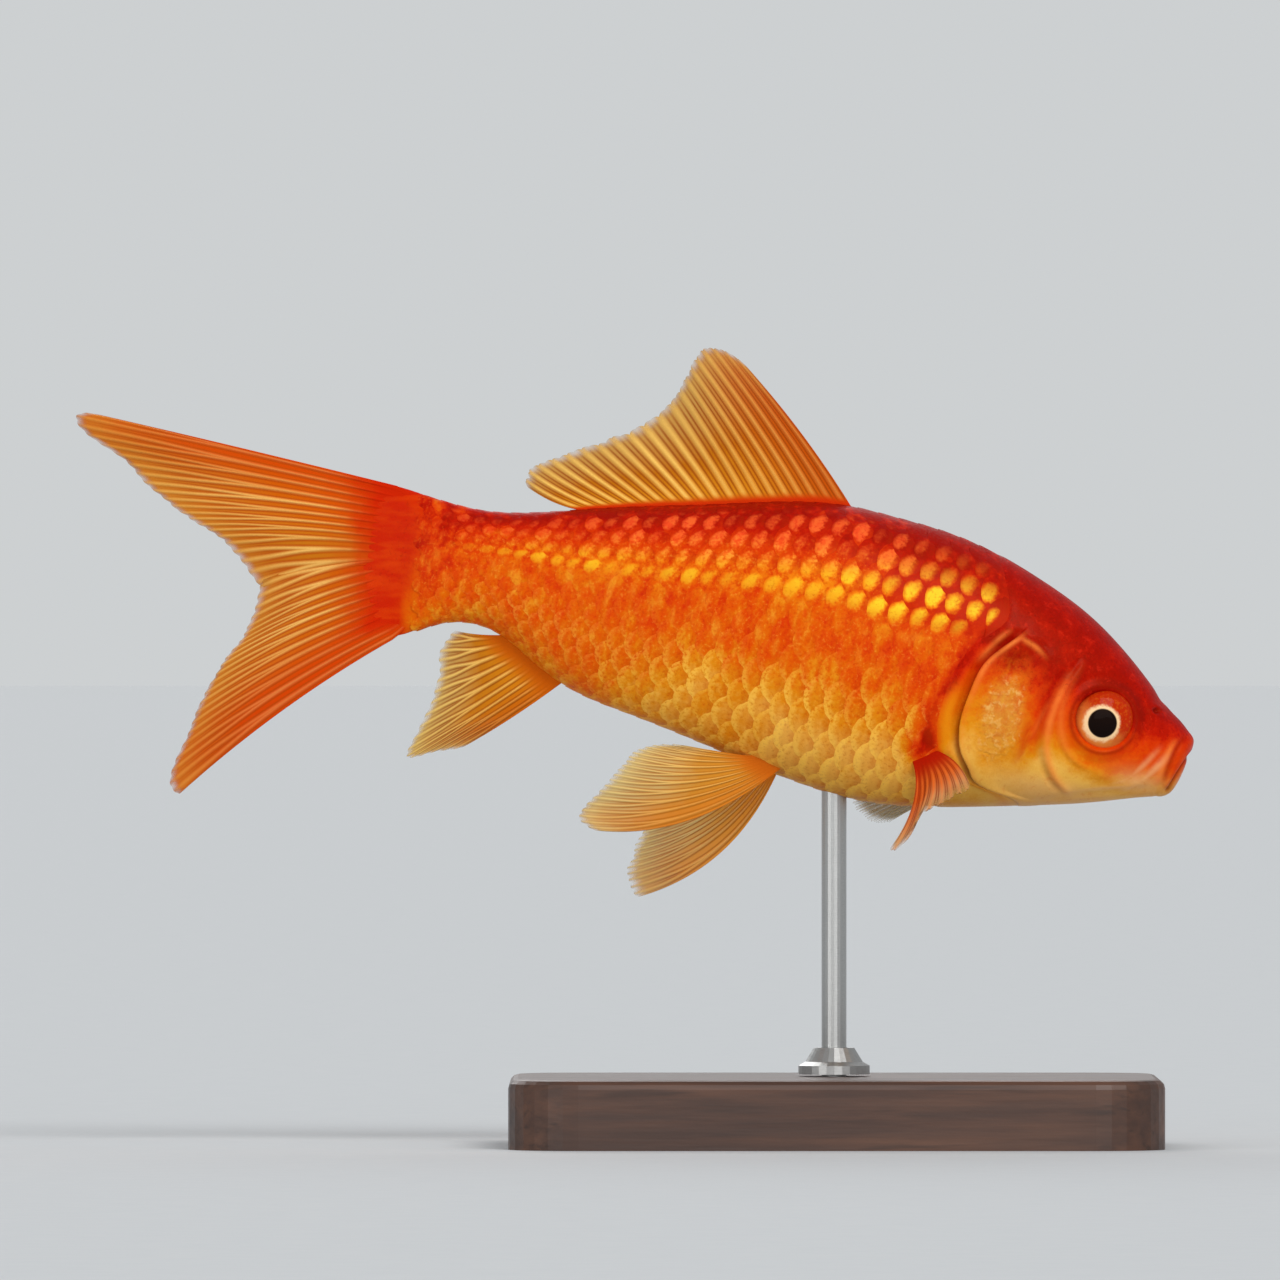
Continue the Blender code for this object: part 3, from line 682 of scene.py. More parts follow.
# light: painted highlights along the ridges and the gill cover's free edge, and a lighter streak before the
# cover
light = np.maximum.reduce([
    stroke(0.40, SOCKET_RIDGE, 0.5, 0.4),
    stroke(0.80, CHEEK_EDGE, 0.5, 0.2),
    stroke(0.85, COVER_TOP, 0.34, 0.4),
    stroke(0.80, SHOULDER_RIDGE, 0.36, 0.4),
    stroke(0.30, COVER_STREAK, 0.35, 0.4),
    stroke(0.75, LIP_SWELL, 0.36, 0.2) * smooth(0.5, -1.5, h),
    (0.25 + 0.60 * smooth(-2, 4, h)) * bell(ring, SLIT - 0.4, 0.4) * slit_open * on_cover,
])
# pale: paler skin by the mouth and under the throat, and painted highlights along the bone below the eye, the
# jaw and the lower lip
pale = np.maximum.reduce([
    stroke(0.70, LACHRYMAL, 0.45, 0.3),
    stroke(0.60, LACHRYMAL + (1.3, 0.5), 0.35, 0.35),
    stroke(0.60, JAW_LINE + (0, 0.55), 0.35, 0.3),
    stroke(0.40, LOWER_LIP + (-0.1, 0), 0.5, 0) * smooth(-1.5, -3, h),
    0.70 * bell(true_s, 5.6, 3.2) * bell(h, -6.6, 1.5),
    0.60 * smooth(-7.5, -10.5, h) * smooth(27, 17, true_s) * smooth(2, 6, true_s),
])
for name, lines in (("dark", dark), ("light", light), ("pale", pale)):
    print(name, "on", round(float(100 * np.mean(lines > 0.1)), 1), "% of the skin's points")

# %% Give the skin its marks
cover_oval = oval(true_s, h, (COVER_MIDDLE[0] + 0.6, COVER_MIDDLE[1] - 1.0), (3.5, 6.4))
for name, values in {
    "fall": fall_at(true_s, h), "dark": dark, "light": light, "pale": pale,
    "cover": np.exp(-(cover_oval**1.5)) * on_cover,
    "brass": bell(ring, SLIT + 1.7, 0.8) * smooth(2.0, -3, h) * ~on_cover,
    "rosy": stroke(1, UPPER_LIP, 0.5, 0) + stroke(1, COVER_FRONT, 1.1, 0.25),
    "tail_red": smooth(102.4, 104.0, true_s + 0.35 * np.clip(-h - 5.5, 0, None)),
}.items():
    paint(skin, name, values[i, j])
merged(skin, 1e-7)
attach(skin, "root")
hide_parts("head", "upper_jaw", "lower_jaw", "gill_cover_left", "gill_cover_right", "trunk",
            "tail_stalk")
print("skin faces:", len(skin.data.polygons))

# %% [markdown]
# ## The skin's finish
# Living skin is glossy with mucus over pigment that lies in specks. The colours follow the paint plan:
# one ramp by "fall", then brass and pearly curls on the gill cover, pale patches, painted highlights on the
# ridges, painted shade, dark red, in the folds, and a painted pinkish sheen on the crown. A bump gives it
# fine pores and raises the curls.

# %% Paint for the skin and the scales
DEEP_RED, RED, ORANGE_RED = tint(168, 9, 1), tint(190, 20, 2), tint(216, 52, 3)
ORANGE, WARM_ORANGE, AMBER = tint(224, 78, 3), tint(226, 100, 4), tint(230, 144, 20)
PALE_GOLD, DARK_RED = tint(246, 186, 80), tint(158, 7, 1)
TAIL_RED = (204, 30, 2)
WARM_SHEEN = (1.0, 0.34, 0.08, 1.0)


def body_colour(finish, fall):
    """The ramp from the back's red to the belly's gold."""
    return finish.ramp(fall, (0.0, DARK_RED), (0.06, DEEP_RED), (0.15, RED), (0.30, ORANGE_RED),
                       (0.46, ORANGE), (0.60, WARM_ORANGE), (0.78, AMBER), (1.0, PALE_GOLD))


def flesh_finish():
    f = Finish("goldfish_skin", Specular_IOR_Level=0.16, Specular_Tint=WARM_SHEEN, Coat_Weight=0.02,
               Coat_Roughness=0.2)
    cloud, blotch, speck = f.noise(420, 4), f.noise(900, 4, roughness=0.7), f.noise(2600, 3)
    fall = f.attribute("fall") + (cloud - 0.5) * 0.30 + (blotch - 0.5) * 0.24 + (speck - 0.5) * 0.12
    cover, streak = f.attribute("cover"), f.noise(800, 3, stretch=(1.0, 1.0, 3.5), lean=29)
    curl = ((cover * 9 + f.noise(420, 3) * 26).math("SINE") * 0.5 + 0.5) * f.band(cover, 0.1, 0.8)
    broken = f.band(f.noise(640, 3, roughness=0.7), 0.42, 0.66)
    tail_rays = f.band(f.noise(700, 2, stretch=(9.0, 1.0, 1.0)), 0.35, 0.7)
    crown = 1 - f.band(fall, 0.1, 0.4)
    colour = f.coats(
        body_colour(f, fall),
        (cover * f.band(blotch + streak, 0.7, 1.25) * 0.9, 230, 146, 26),
        (f.band(cover, 0.45, 1.0) * 0.45, 216, 160, 70),
        (f.band(curl, 0.3, 1.0) * broken * 0.6, 246, 194, 110),
        (f.band(cover, 0.2, 0.9) * (1 - f.band(blotch, 0.36, 0.56)) * 0.35, 208, 104, 14),
        (f.attribute("rosy").clamped() * f.band(streak, 0.35, 0.6) * 0.8, 206, 52, 6),
        (f.attribute("brass") * 0.7, 232, 140, 14),
        (f.attribute("tail_red"), f.mix(tail_rays, tint(*TAIL_RED), tint(216, 54, 4))),
        # painted highlights on the ridges of the head and the gill cover's edge
        (f.attribute("light") * (cloud * 0.9 + 0.3), 250, 132, 54),
        # pale skin, with painted highlights along the jaw, the lower lip and below the eye
        (f.attribute("pale") * (cloud * 0.8 + 0.4), 246, 186, 126),
        # painted shade in the folds, the gill slit, the mouth, the nostril and round the eye
        (f.attribute("dark"), 132, 12, 2),
        (f.band(fall, 0.5, 0.7) * f.band(blotch, 0.54, 0.68) * 0.30, 222, 104, 14),
        # painted sheen: pinkish patches on the red crown
        (crown * f.band(blotch, 0.56, 0.70) * 0.35, 226, 40, 22),
        (crown * (1 - f.band(speck, 0.30, 0.44)) * 0.30, 120, 6, 2),
    )
    f.set(Base_Color=colour, Roughness=f.band(cover * speck, 0.0, 0.9) * 0.2 + 0.42)
    f.bump(speck * 0.4 + cloud * 0.6 + curl * 0.5, 0.00014, 0.8)
    return f.material


skin.data.materials.append(flesh_finish())

# %% [markdown]
# ## The scales
# A goldfish has about thirty scales along its side and fourteen rows from back to belly. Each is a thin
# rounded plate whose front is tucked under the scales before it, and each row is half a step behind the
# next. One scale is shaped on a flat grid, then laid on the body at every place, tipped up a little
# towards the tail, so that it overlaps the ones behind.

# %% The places of the scales
ROWS = 14
FRONT_PITCH, TAIL_PITCH = 2.75, 2.05
LAST_COLUMN = 101.9  # no scale starts further back than this


def columns():
    """Stations of the columns of scales, closer together towards the tail."""
    places, s = [], 24.25
    while s < 106.5:
        places.append(s)
        s += FRONT_PITCH + (TAIL_PITCH - FRONT_PITCH) * float(smooth(50, 104, s))
    return np.array(places)


COLUMNS = columns()
print(len(COLUMNS), "columns of scales")


# %% One scale
SCALE_ACROSS = 9
SCALE_STEPS = (0.0, 0.36, 0.64, 0.86, 1.0)  # closer together towards the free edge, which is what shows
ROOT_LENGTH = 0.75  # how much of a pitch lies hidden before the scale's own column
WIDTH_IN_ROWS = 1.12  # how far a scale reaches to each side, in rows
TIP = 0.11  # how far it rises over one pitch, to end at the body's own surface, in millimetres
CURL = 0.06  # how far its sides bend down

# along from 0 at the root to 1 at the free edge, and across from -1 to 1
ACROSS, ALONG = np.meshgrid(np.linspace(-1, 1, SCALE_ACROSS), SCALE_STEPS, indexing="ij")
BACKWARD = ALONG * (1 - 0.52 * np.abs(ACROSS) ** 2.3)  # the free edge is round


def lay_scale(column, row, side, rng):
    """The places of one scale's points, and how far each rises from the body's surface."""
    pitch = np.interp(column, np.arange(len(COLUMNS) - 1), np.diff(COLUMNS))
    centre = np.interp(column, np.arange(len(COLUMNS)), COLUMNS)
    tilt, size = rng.normal(0, 0.03), 1 + rng.normal(0, 0.02)
    root, edge = centre - pitch * ROOT_LENGTH, centre + pitch * ((1.0 + ROOT_LENGTH) * size - ROOT_LENGTH)
    reach = WIDTH_IN_ROWS * (0.72 + 0.28 * np.sqrt(np.clip(ALONG * 2.2, 0, 1))) / ROWS
    share = row / ROWS + ACROSS * reach
    over = np.where((share < 0) | (share > 1), -1.0, 1.0)  # past the back's or the belly's line
    share = np.abs(share)
    share = np.where(share > 1, 2 - share, share)
    root = np.maximum(root, scales_from(share))  # the first scales are short, and start with the coat
    s = root + (edge - root) * BACKWARD + tilt * ACROSS * pitch * ALONG
    true_s, y, h = surface(s, share)
    rise = TIP * ((s - centre) / pitch - 1) - CURL * ACROSS**2 - 0.04 * smooth(0.8, 1.0, ALONG) ** 2
    return np.stack([true_s, y * over * side, h], axis=-1), rise


# %% The faces of a scale
SCALE_MARKS = ("across", "along", "tone", "fall", "gold", "spot", "rim", "apart")
SCALE_THICKNESS = 0.07


def scale_faces(first, flip):
    """Faces of one scale: its top in small quads, its rim, and its hidden underside as one face."""
    top = np.arange(ACROSS.size).reshape(ACROSS.shape) + first
    quads = np.stack([top[:-1, :-1], top[1:, :-1], top[1:, 1:], top[:-1, 1:]], axis=-1).reshape(-1, 4)
    loop = np.concatenate([top[:, 0], top[-1, 1:], top[-2::-1, -1], top[0, -2:0:-1]])
    after = np.roll(loop, -1)
    rim = np.stack([after, loop, loop + ACROSS.size, after + ACROSS.size], axis=-1)
    faces = [*quads.tolist(), *rim.tolist(), (loop[::-1] + ACROSS.size).tolist()]
    return [face[::-1] for face in faces] if flip else faces


# %% Lay all the scales of one side
def scale_coat(name, side):
    """All the scales of one side as one mesh, each with its own patch of the map."""
    rng = np.random.default_rng(7 if side > 0 else 8)
    points, faces, marks, maps, first = [], [], [], [], 0
    for row in range(ROWS + 1):
        if row in (0, ROWS) and side < 0:
            continue  # the rows on the back and belly are laid once, with the left side
        for k in range(len(COLUMNS) - 1):
            column = k + (0.5 if row % 2 else 0.0)
            centre = np.interp(column, np.arange(len(COLUMNS)), COLUMNS)
            if centre < scales_from(row / ROWS) + 0.2 or centre > LAST_COLUMN:
                continue
            place, rise = lay_scale(column, row, side, rng)
            normal = normals_of(place)
            outward = np.sum(normal * np.stack([0 * rise, place[..., 1], place[..., 2] - 1.0], axis=-1))
            normal *= 1 if outward > 0 else -1
            top = place + normal * rise[..., None]
            points += [top.reshape(-1, 3), (top - normal * SCALE_THICKNESS).reshape(-1, 3)]
            faces += scale_faces(first, outward < 0)
            own = np.broadcast_to(rng.uniform(0, 1), ACROSS.shape)
            kept = np.stack([ACROSS, ALONG, own, *coat_marks(place[..., 0], place[..., 2])], axis=-1)
            marks += [kept.reshape(-1, len(SCALE_MARKS))] * 2
            cell = np.stack([(ALONG - 0.5) * 0.85, ACROSS * 0.42], axis=-1)
            where = (np.array([k, row]) + 0.5 + cell) / (len(COLUMNS), ROWS + 1)
            maps += [where.reshape(-1, 2)] * 2
            first += 2 * ACROSS.size
    mesh = bpy.data.meshes.new(name)
    mesh.from_pydata(placed(*np.concatenate(points).T), [], faces)
    coat = bpy.data.objects.new(name, mesh)
    bpy.context.scene.collection.objects.link(coat)
    for kept, values in zip(SCALE_MARKS, np.concatenate(marks).T):
        paint(coat, kept, values)
    layer = mesh.uv_layers.new(name="OFBake")
    layer.data.foreach_set("uv", np.concatenate(maps)[np.concatenate(faces)].ravel())
    mesh.shade_smooth()
    mesh.set_sharp_from_angle(angle=math.radians(60))
    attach(coat, "root")
    print(name, "scales:", first // (2 * ACROSS.size), "faces:", len(faces))
    return coat


coats = [scale_coat("scales_left", 1), scale_coat("scales_right", -1)]

# %% [markdown]
# ## The scales' finish
# On the back a scale is deep red with one bright spot, a painted highlight. In the band it is gold, with red
# round it near the head. Low on the flank it is amber with a pale rim. The finish reads where it is on a
# scale by across and along, and each scale has a tone of its own, so that no two are alike.

# %% Paint for the scales
def scale_finish():
    f = Finish("goldfish_scales", Specular_IOR_Level=0.18, Specular_Tint=WARM_SHEEN, Coat_Weight=0.02,
               Coat_Roughness=0.25)
    tone, gold, spot, rim, apart = (f.attribute(name) for name in ("tone", "gold", "spot", "rim", "apart"))
    cloud, blotch, grit = f.noise(240, 3), f.noise(1300, 3, roughness=0.6), f.noise(2600, 3)
    streak = f.noise(720, 3, stretch=(1.0, 1.0, 2.2), lean=13)
    plain = (1 - gold - spot - rim).clamped()
    along = f.attribute("along") + (blotch - 0.5) * 0.14 + (tone - 0.5) * 0.05
    across = f.attribute("across") + (f.noise(1500, 3) - 0.5) * 0.26
    wide = across * across
    fall = f.attribute("fall") + (tone - 0.5) * 0.14 + (cloud - 0.5) * 0.22 + (blotch - 0.5) * 0.30
    warm = f.band(f.attribute("fall"), 0.15, 0.45)
    shade = (spot + rim * 0.8 + gold * 0.4).clamped() * 0.24 + 0.10
    # on the back, a painted highlight: a bright spot in the middle of each scale
    spot_at = (along - across * 0.22 - 0.79) / 0.20
    middle = 0.85 - (wide * wide * 0.5 + wide * 0.16) / 0.06 - spot_at * spot_at
    middle = middle + (tone - 0.5) * 0.7 + (blotch - 0.5) * 0.9 + (grit - 0.5) * 0.4
    lit = f.band(middle, -0.25, 0.9) * spot * (tone * 0.8 + 0.42)
    bright = f.mix(f.band(blotch, 0.35, 0.65), tint(244, 84, 14), tint(255, 150, 50))
    # in the band, gold scales, with red between them near the head
    blob_at = (along - across * 0.25 - 0.79) / 0.26
    blob = 1 - (wide * wide + wide * 0.16) / 0.075 - blob_at * blob_at
    blob = blob + (grit - 0.5) * 0.3 + (tone - 0.5) * 0.5
    core, blob = f.band(blob, 0.3, 1.0), f.band(blob, -0.25, 0.5)
    gilt = f.mix(core * (grit + 0.5), tint(242, 122, 14), tint(255, 208, 40))
    # low on the flank, a pale free edge over a deeper middle
    edge = f.band(along - wide * 0.05, 0.74, 0.92)
    colour = f.coats(
        body_colour(f, fall + (streak - 0.5) * plain * 0.8),
        (f.band(streak, 0.54, 0.70) * plain * warm * 0.30, 248, 140, 44),
        ((1 - f.band(along, 0.48, 0.66)) * shade, 176, 34, 2),  # in the shade of the scale before it
        # the painted highlight on the back's scales
        (lit, f.mix(warm * 0.75 + 0.25, tint(240, 70, 36), bright)),
        (gold * (1 - blob) * apart * 0.6, 200, 36, 3),
        (gold * blob * (tone * 0.8 + 0.7), gilt),
        (gold * (1 - apart) * f.band(blotch + streak, 0.8, 1.25) * 0.8, 250, 150, 16),
        (rim * (1 - edge) * 0.26, 214, 104, 6),
        (rim * edge * (tone * 0.5 + 0.3) * f.band(grit, 0.25, 0.6), 255, 196, 76),
        (f.band(grit, 0.56, 0.72) * warm * 0.24, 255, 170, 60),
        ((1 - f.band(grit, 0.30, 0.46)) * 0.22, 168, 40, 2),
    )
    f.set(Base_Color=colour, Roughness=grit * 0.2 + 0.4)
    f.bump(blotch * 0.6 + grit * 0.6, 0.00007, 0.7)
    return f.material


scale_paint = scale_finish()
for coat in coats:
    coat.data.materials.append(scale_paint)

# %% [markdown]
# ## The fins
# A fin is a thin skin stretched over rays. The rays leave the root close together, spread like a fan and
# split in two on the way. Between them the skin is so thin that light comes through, and it is nicked
# and frayed at the edge. Each fin is a grid, across the rays and along them, thickened by Solidify where
# a ray runs.

# %% The fins' outlines
FINS = {
    "dorsal_fin": {
        "root": ((49.8, 20.2), (84.2, 11.8)), "on": "back",
        "edge": (
            (0, 67.6, 34.8), (0.12, 71.8, 35.9), (0.24, 73.8, 33.6), (0.4, 75.2, 28.7),
            (0.52, 78.2, 24.3), (0.65, 82.8, 21.0), (0.8, 88.0, 17.6), (0.92, 91.2, 15.0), (1, 91.3, 13.1),
        ),
        "bow": ((-0.3, 0.45), (0.2, -0.4)), "sway": (1.8, 1.8), "rays": 20, "width": 0.18, "fork": 0.80,
    },
    "anal_fin": {
        "root": ((81.0, -11.6), (90.3, -7.3)), "on": "belly",
        "edge": (
            (0, 91.8, -22.0), (0.15, 95.6, -23.5), (0.3, 98.3, -24.6), (0.5, 97.3, -19.6),
            (0.72, 96.8, -13.6), (0.9, 97.0, -9.4), (1, 95.9, -7.3),
        ),
        "bow": ((-0.1, -0.3), (0.2, -0.2)), "sway": (1.0, 1.0), "rays": 9, "fork": 0.35,
    },
    "tail_fin_upper": {
        "root": ((106.2, 9.2), (104.5, -0.6)),
        "edge": (
            (0, 147.6, 9.5), (0.06, 149.7, 8.9), (0.12, 149.2, 7.5), (0.22, 145.0, 5.6), (0.4, 138.9, 2.1),
            (0.6, 133.0, -0.8), (0.8, 127.2, -3.1), (1, 121.6, -7.7),
        ),
        "bow": ((0, 0.1), (0.4, 0.9)), "sway": (3.0, 2.2), "rays": 11, "width": 0.15, "fork": 0.40,
    },
    "tail_fin_lower": {
        "root": ((104.3, 0.6), (102.7, -9.6)),
        "edge": (
            (0, 121.6, -6.6), (0.2, 122.0, -12.8), (0.4, 124.0, -17.8), (0.6, 125.8, -23.6),
            (0.8, 126.9, -30.0), (0.94, 127.2, -35.0), (1, 126.0, -36.2),
        ),
        "bow": ((0.4, 1.0), (0.7, 0.7)), "sway": (2.3, 1.4), "rays": 11, "width": 0.15, "fork": 0.40,
    },
    "pelvic_fin_right": {
        "root": ((51.2, -15.4), (55.2, -14.5)),
        "edge": (
            (0, 72.8, -28.2), (0.12, 75.0, -26.9), (0.3, 73.5, -23.6), (0.5, 71.7, -20.3),
            (0.7, 70.3, -17.7), (0.87, 68.0, -15.9), (1, 64.6, -15.1),
        ),
        "bow": ((-0.8, -2.6), (0, 0)), "out": (6.0, 2.0), "rays": 10, "fork": 0.45,
    },
    "pelvic_fin_left": {
        "root": ((51.2, -15.4), (55.2, -14.5)),
        "edge": (
            (0, 65.3, -35.6), (0.13, 66.9, -33.6), (0.35, 67.2, -30.2), (0.55, 66.7, -27.0),
            (0.75, 65.4, -23.6), (1, 62.2, -18.8),
        ),
        "bow": ((-2.3, -1.9), (0, -0.4)), "out": (7.0, 2.0), "rays": 10, "fork": 0.45,
    },
    "pectoral_fin_right": {
        "root": ((34.4, -10.8), (31.4, -8.6)),
        "edge": (
            (0, 35.3, -22.2), (0.1, 34.4, -21.9), (0.2, 33.2, -20.0), (0.32, 32.6, -17.6),
            (0.48, 31.0, -15.8), (0.72, 28.6, -14.0), (1, 26.6, -12.2),
        ),
        "bow": ((-1.3, 0.3), (-0.2, 0.7)), "out": (11.0, 3.5), "rays": 8, "width": 0.2, "fork": 0.8,
    },
    "pectoral_fin_left": {
        "root": ((26.6, -12.4), (29.0, -9.4)),
        "edge": (
            (0, 35.6, -18.8), (0.3, 37.9, -19.2), (0.6, 40.2, -18.3), (0.8, 41.0, -16.8), (1, 40.6, -14.3),
        ),
        "bow": ((0.2, 0.6), (0, 0)), "out": (11.0, 5.0), "rays": 12, "fork": 0.6,
    },
}
SIDES = {"left": 1, "right": -1}
STEPS_PER_RAY, STEPS_ALONG = 16, 44
FRAY = 0.7  # how deep the fins' edges are nicked
SUNK = 0.07  # how much of a fin's length is sunk in the flesh
RIPPLE = 0.20  # how far the web waves to each side, in millimetres
THICKEST, WEB = 1.0, 0.14  # a fin's thickness where it is all flesh, and the web's as a share of that


# %% The middle surface of a fin
def width_at(s, h):
    """How far the body reaches to the side at a station and a level."""
    middle = widest_level(s)
    above = h > middle
    share = np.clip((h - middle) / (np.where(above, back(s), belly(s)) - middle), 0, 1)
    fullness = np.where(above, UPPER_FULLNESS, LOWER_FULLNESS)
    return half_width(s) * (1 - share**fullness) ** (1 / fullness)


def between(ends, u):
    """Part of the way from one value to another."""
    return ends[0] * (1 - u) + ends[1] * u


def fin_middle(fin, sign, u, v):
    """Points (s, y, h) of the fin's middle surface: u across the rays, v out along them. A v below 0 is
    sunk in the flesh."""
    u_knot, *knots = np.array(fin["edge"], float).T
    edge = [spline(list(zip(u_knot, knot)))(u) for knot in knots]
    root = [between(ends, u) for ends in zip(*fin["root"])]
    if "on" in fin:
        root[1] = back(root[0]) if fin["on"] == "back" else belly(root[0])
    bow = [between(ends, u) for ends in zip(*fin["bow"])]
    s, h = (a * (1 - v) + b * v + c * 4 * v * (1 - v) for a, b, c in zip(root, edge, bow))
    if "out" in fin:
        return s, sign * (width_at(*root) + between(fin["out"], u) * v), h
    return s, between(fin["sway"], u) * np.clip(v, 0, None) ** 2, h


# %% Rays, forks and the frayed edge
def rays_at(u, v, fin):
    """The ray's rounded profile across the fin, 0 to 1, and the furrow that lies beside it, where shade is
    painted. Each ray forks in two at the fin's fork, and the two are evenly spaced by the edge."""
    where = u * fin["rays"]
    off = where - np.floor(np.clip(where, 0, fin["rays"] - 1e-6)) - 0.5
    spread = 0.24 * smooth(fin["fork"], fin["fork"] + 0.45, v)
    nearest = np.minimum(np.abs(off - spread), np.abs(off + spread))
    width = fin.get("width", 0.12) * (1 - 0.35 * smooth(fin["fork"], fin["fork"] + 0.3, v))
    return bell(nearest, 0, width), bell(nearest, width * 1.9, 0.07) * (1 - smooth(0.7, 1, v) * 0.3)


def uneven(u, fin, rng):
    """A random share for each branch of the rays, with a smooth way from one to the next."""
    places = fin["rays"] * 2 + 1
    return np.interp(u, np.linspace(0, 1, places), rng.uniform(0, 1, places))


def frayed(u, fin, rng):
    """How much shorter the fin is at u than its outline, 0 to 1: a tooth for each branch, and uneven."""
    where = u * fin["rays"] * 2
    between_branches = np.abs(where - np.floor(where) - 0.5) * 2
    return 0.3 * between_branches**2 + 0.7 * uneven(u, fin, rng)


# %% Build the fins
def make_fin(name, fin):
    """A fin as one grid, thickened where its rays run. The fin's own numbers are kept on its points."""
    tail, sign = name.startswith("tail"), SIDES[name.rsplit("_", 1)[-1]] if "out" in fin else 1
    rng = np.random.default_rng(len(name) + fin["rays"])
    across = fin["rays"] * STEPS_PER_RAY + 1
    piece, i, j = grid_piece("rayed_" + name, across, STEPS_ALONG + 1)
    u, v = np.linspace(0, 1, across)[:, None], np.linspace(-SUNK, 1, STEPS_ALONG + 1)[None, :]
    root, tip = (fin_middle(fin, sign, u, np.full_like(u, end)) for end in (0.0, 1.0))
    length = np.hypot(tip[0] - root[0], tip[2] - root[2])
    short = FRAY * frayed(u, fin, rng) / length
    u, v = np.broadcast_arrays(u, np.where(v > 0, v * (1 - short * smooth(0.0, 1, v)), v))
    s, y, h = fin_middle(fin, sign, u, v)
    if tail:
        h = h * (1 - 0.13 * smooth(0.03, -SUNK, v))  # the foot of the fin is tucked under the skin
    reach = np.hypot(s - root[0], h - root[2]) * np.sign(v)
    ray, furrow = rays_at(u, v, fin)
    ripple = RIPPLE * smooth(0.2, 1, v) * np.sin(u * fin["rays"] * 0.9 + v * 3 + len(name))
    piece.data.vertices.foreach_set("co", placed(s, y + ripple, h)[i, j].ravel())
    for kept, values in {
        "ray": ray * (0.55 + 0.45 * uneven(u, fin, rng)), "furrow": furrow, "out": v, "over": u,
        "reach": reach, "to_edge": (1 - v) * length,
    }.items():
        paint(piece, kept, values[i, j])
    # it is thickest in the flesh of the root, then along the rays
    flesh, fades = (0.95, 3.5) if tail else (0.7, 1.6)
    thick = WEB + 0.42 * ray * (1 - 0.6 * v) * smooth(1, 6, reach)
    thick = np.clip(thick + flesh * np.exp(-np.clip(reach, 0, None) / fades), 0, 1)[i, j]
    group = piece.vertex_groups.new(name="thick")
    for index, value in enumerate(thick):
        group.add([index], float(value), "REPLACE")
    bpy.ops.object.modifier_add(type="SOLIDIFY")
    wall = piece.modifiers[-1]
    wall.thickness, wall.offset = THICKEST * MM, 0.0
    wall.vertex_group, wall.thickness_vertex_group = group.name, 0.0
    bpy.ops.object.modifier_apply(modifier=wall.name)
    piece.data.shade_smooth()
    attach(piece, "root")
    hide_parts(name)
    print(piece.name, "rays:", fin["rays"], "faces:", len(piece.data.polygons))
    return piece


fins = {name: make_fin(name, fin) for name, fin in FINS.items()}

# %% [markdown]
# ## The fins' finish
# Rays are paler and firmer than the skin between them, with painted shade in a furrow to each side. Colour
# is strongest at the root and fades to a pale, clear edge. The tail is redder, the near breast fin is red,
# and the far one is pale. They share one recipe, and a table gives each fin its colours.

# %% Paint for the fins
def fin_finish(name, root, low, middle, edge, ray_colour, furrow_colour, clear, lead=None, rear=None,
               foot=(0.5, 6.0), low_edge=0.0):
    """Colours from the root to the edge, of the rays and of the painted shade in the furrows beside them.
    Clear is how much light the edge lets through. Lead and rear are richer colours along the first rays and
    the last ones.
    Foot is where the root's colour gives way, in millimetres out from it, and low_edge how much sooner it
    does so along the last rays."""
    f = Finish(name, Specular_IOR_Level=0.2, Specular_Tint=WARM_SHEEN)
    ray, furrow, out, over = (f.attribute(kept) for kept in ("ray", "furrow", "out", "over"))
    cloud, speck = f.noise(350, 4), f.noise(2500, 3)
    far = out + (cloud - 0.5) * 0.28
    colour = f.ramp(far, (0.08, tint(*low)), (0.45, tint(*middle)), (0.95, tint(*edge)))
    fading = 1 - f.band(far, 0.6, 1.05) * 0.7
    if lead:
        colour = f.mix((1 - f.band(over, 0.0, 0.42)) * fading * 0.95, colour, tint(*lead))
    if rear:
        colour = f.mix(f.band(over, 0.45, 0.9) * fading * 0.95, colour, tint(*rear))
    started = f.attribute("reach") + (cloud - 0.5) * (0.36 * foot[1])
    if low_edge:
        started = started + f.band(over, 0.7, 1.0) * low_edge
    grown = f.band(started, *foot)
    rays = ray * grown * grown
    if lead or rear:
        beside = f.band(over, 0.05, 0.5) if lead else 1 - f.band(over, 0.45, 0.85)
        rays = rays * (beside * 0.7 + 0.3)
    lines = grown * (1 - f.band(out, 0.8, 1.0) * 0.5) * (cloud * 0.6 + 0.6)
    colour = f.coats(
        colour,
        (1 - grown, *root),
        # painted shade in the furrows beside each ray
        (furrow * lines, *furrow_colour),
        (rays * (speck * 0.3 + 0.7), f.mix(f.band(far, 0.5, 1.0) * 0.5, tint(*ray_colour), tint(*edge))),
    )
    fringe = 1 - f.band(f.attribute("to_edge") + (cloud - 0.5) * 1.2, 0.0, 1.8)
    see = f.band(out, 0.15, 0.9) * (1 - ray) * clear + fringe * (0.8 - ray * 0.45)
    f.set(Base_Color=colour, Alpha=(1 - see).clamped(), Roughness=speck * 0.2 + 0.35)
    f.bump(ray * 0.5 + speck * 0.4, 0.00005, 0.6)
    return f.material


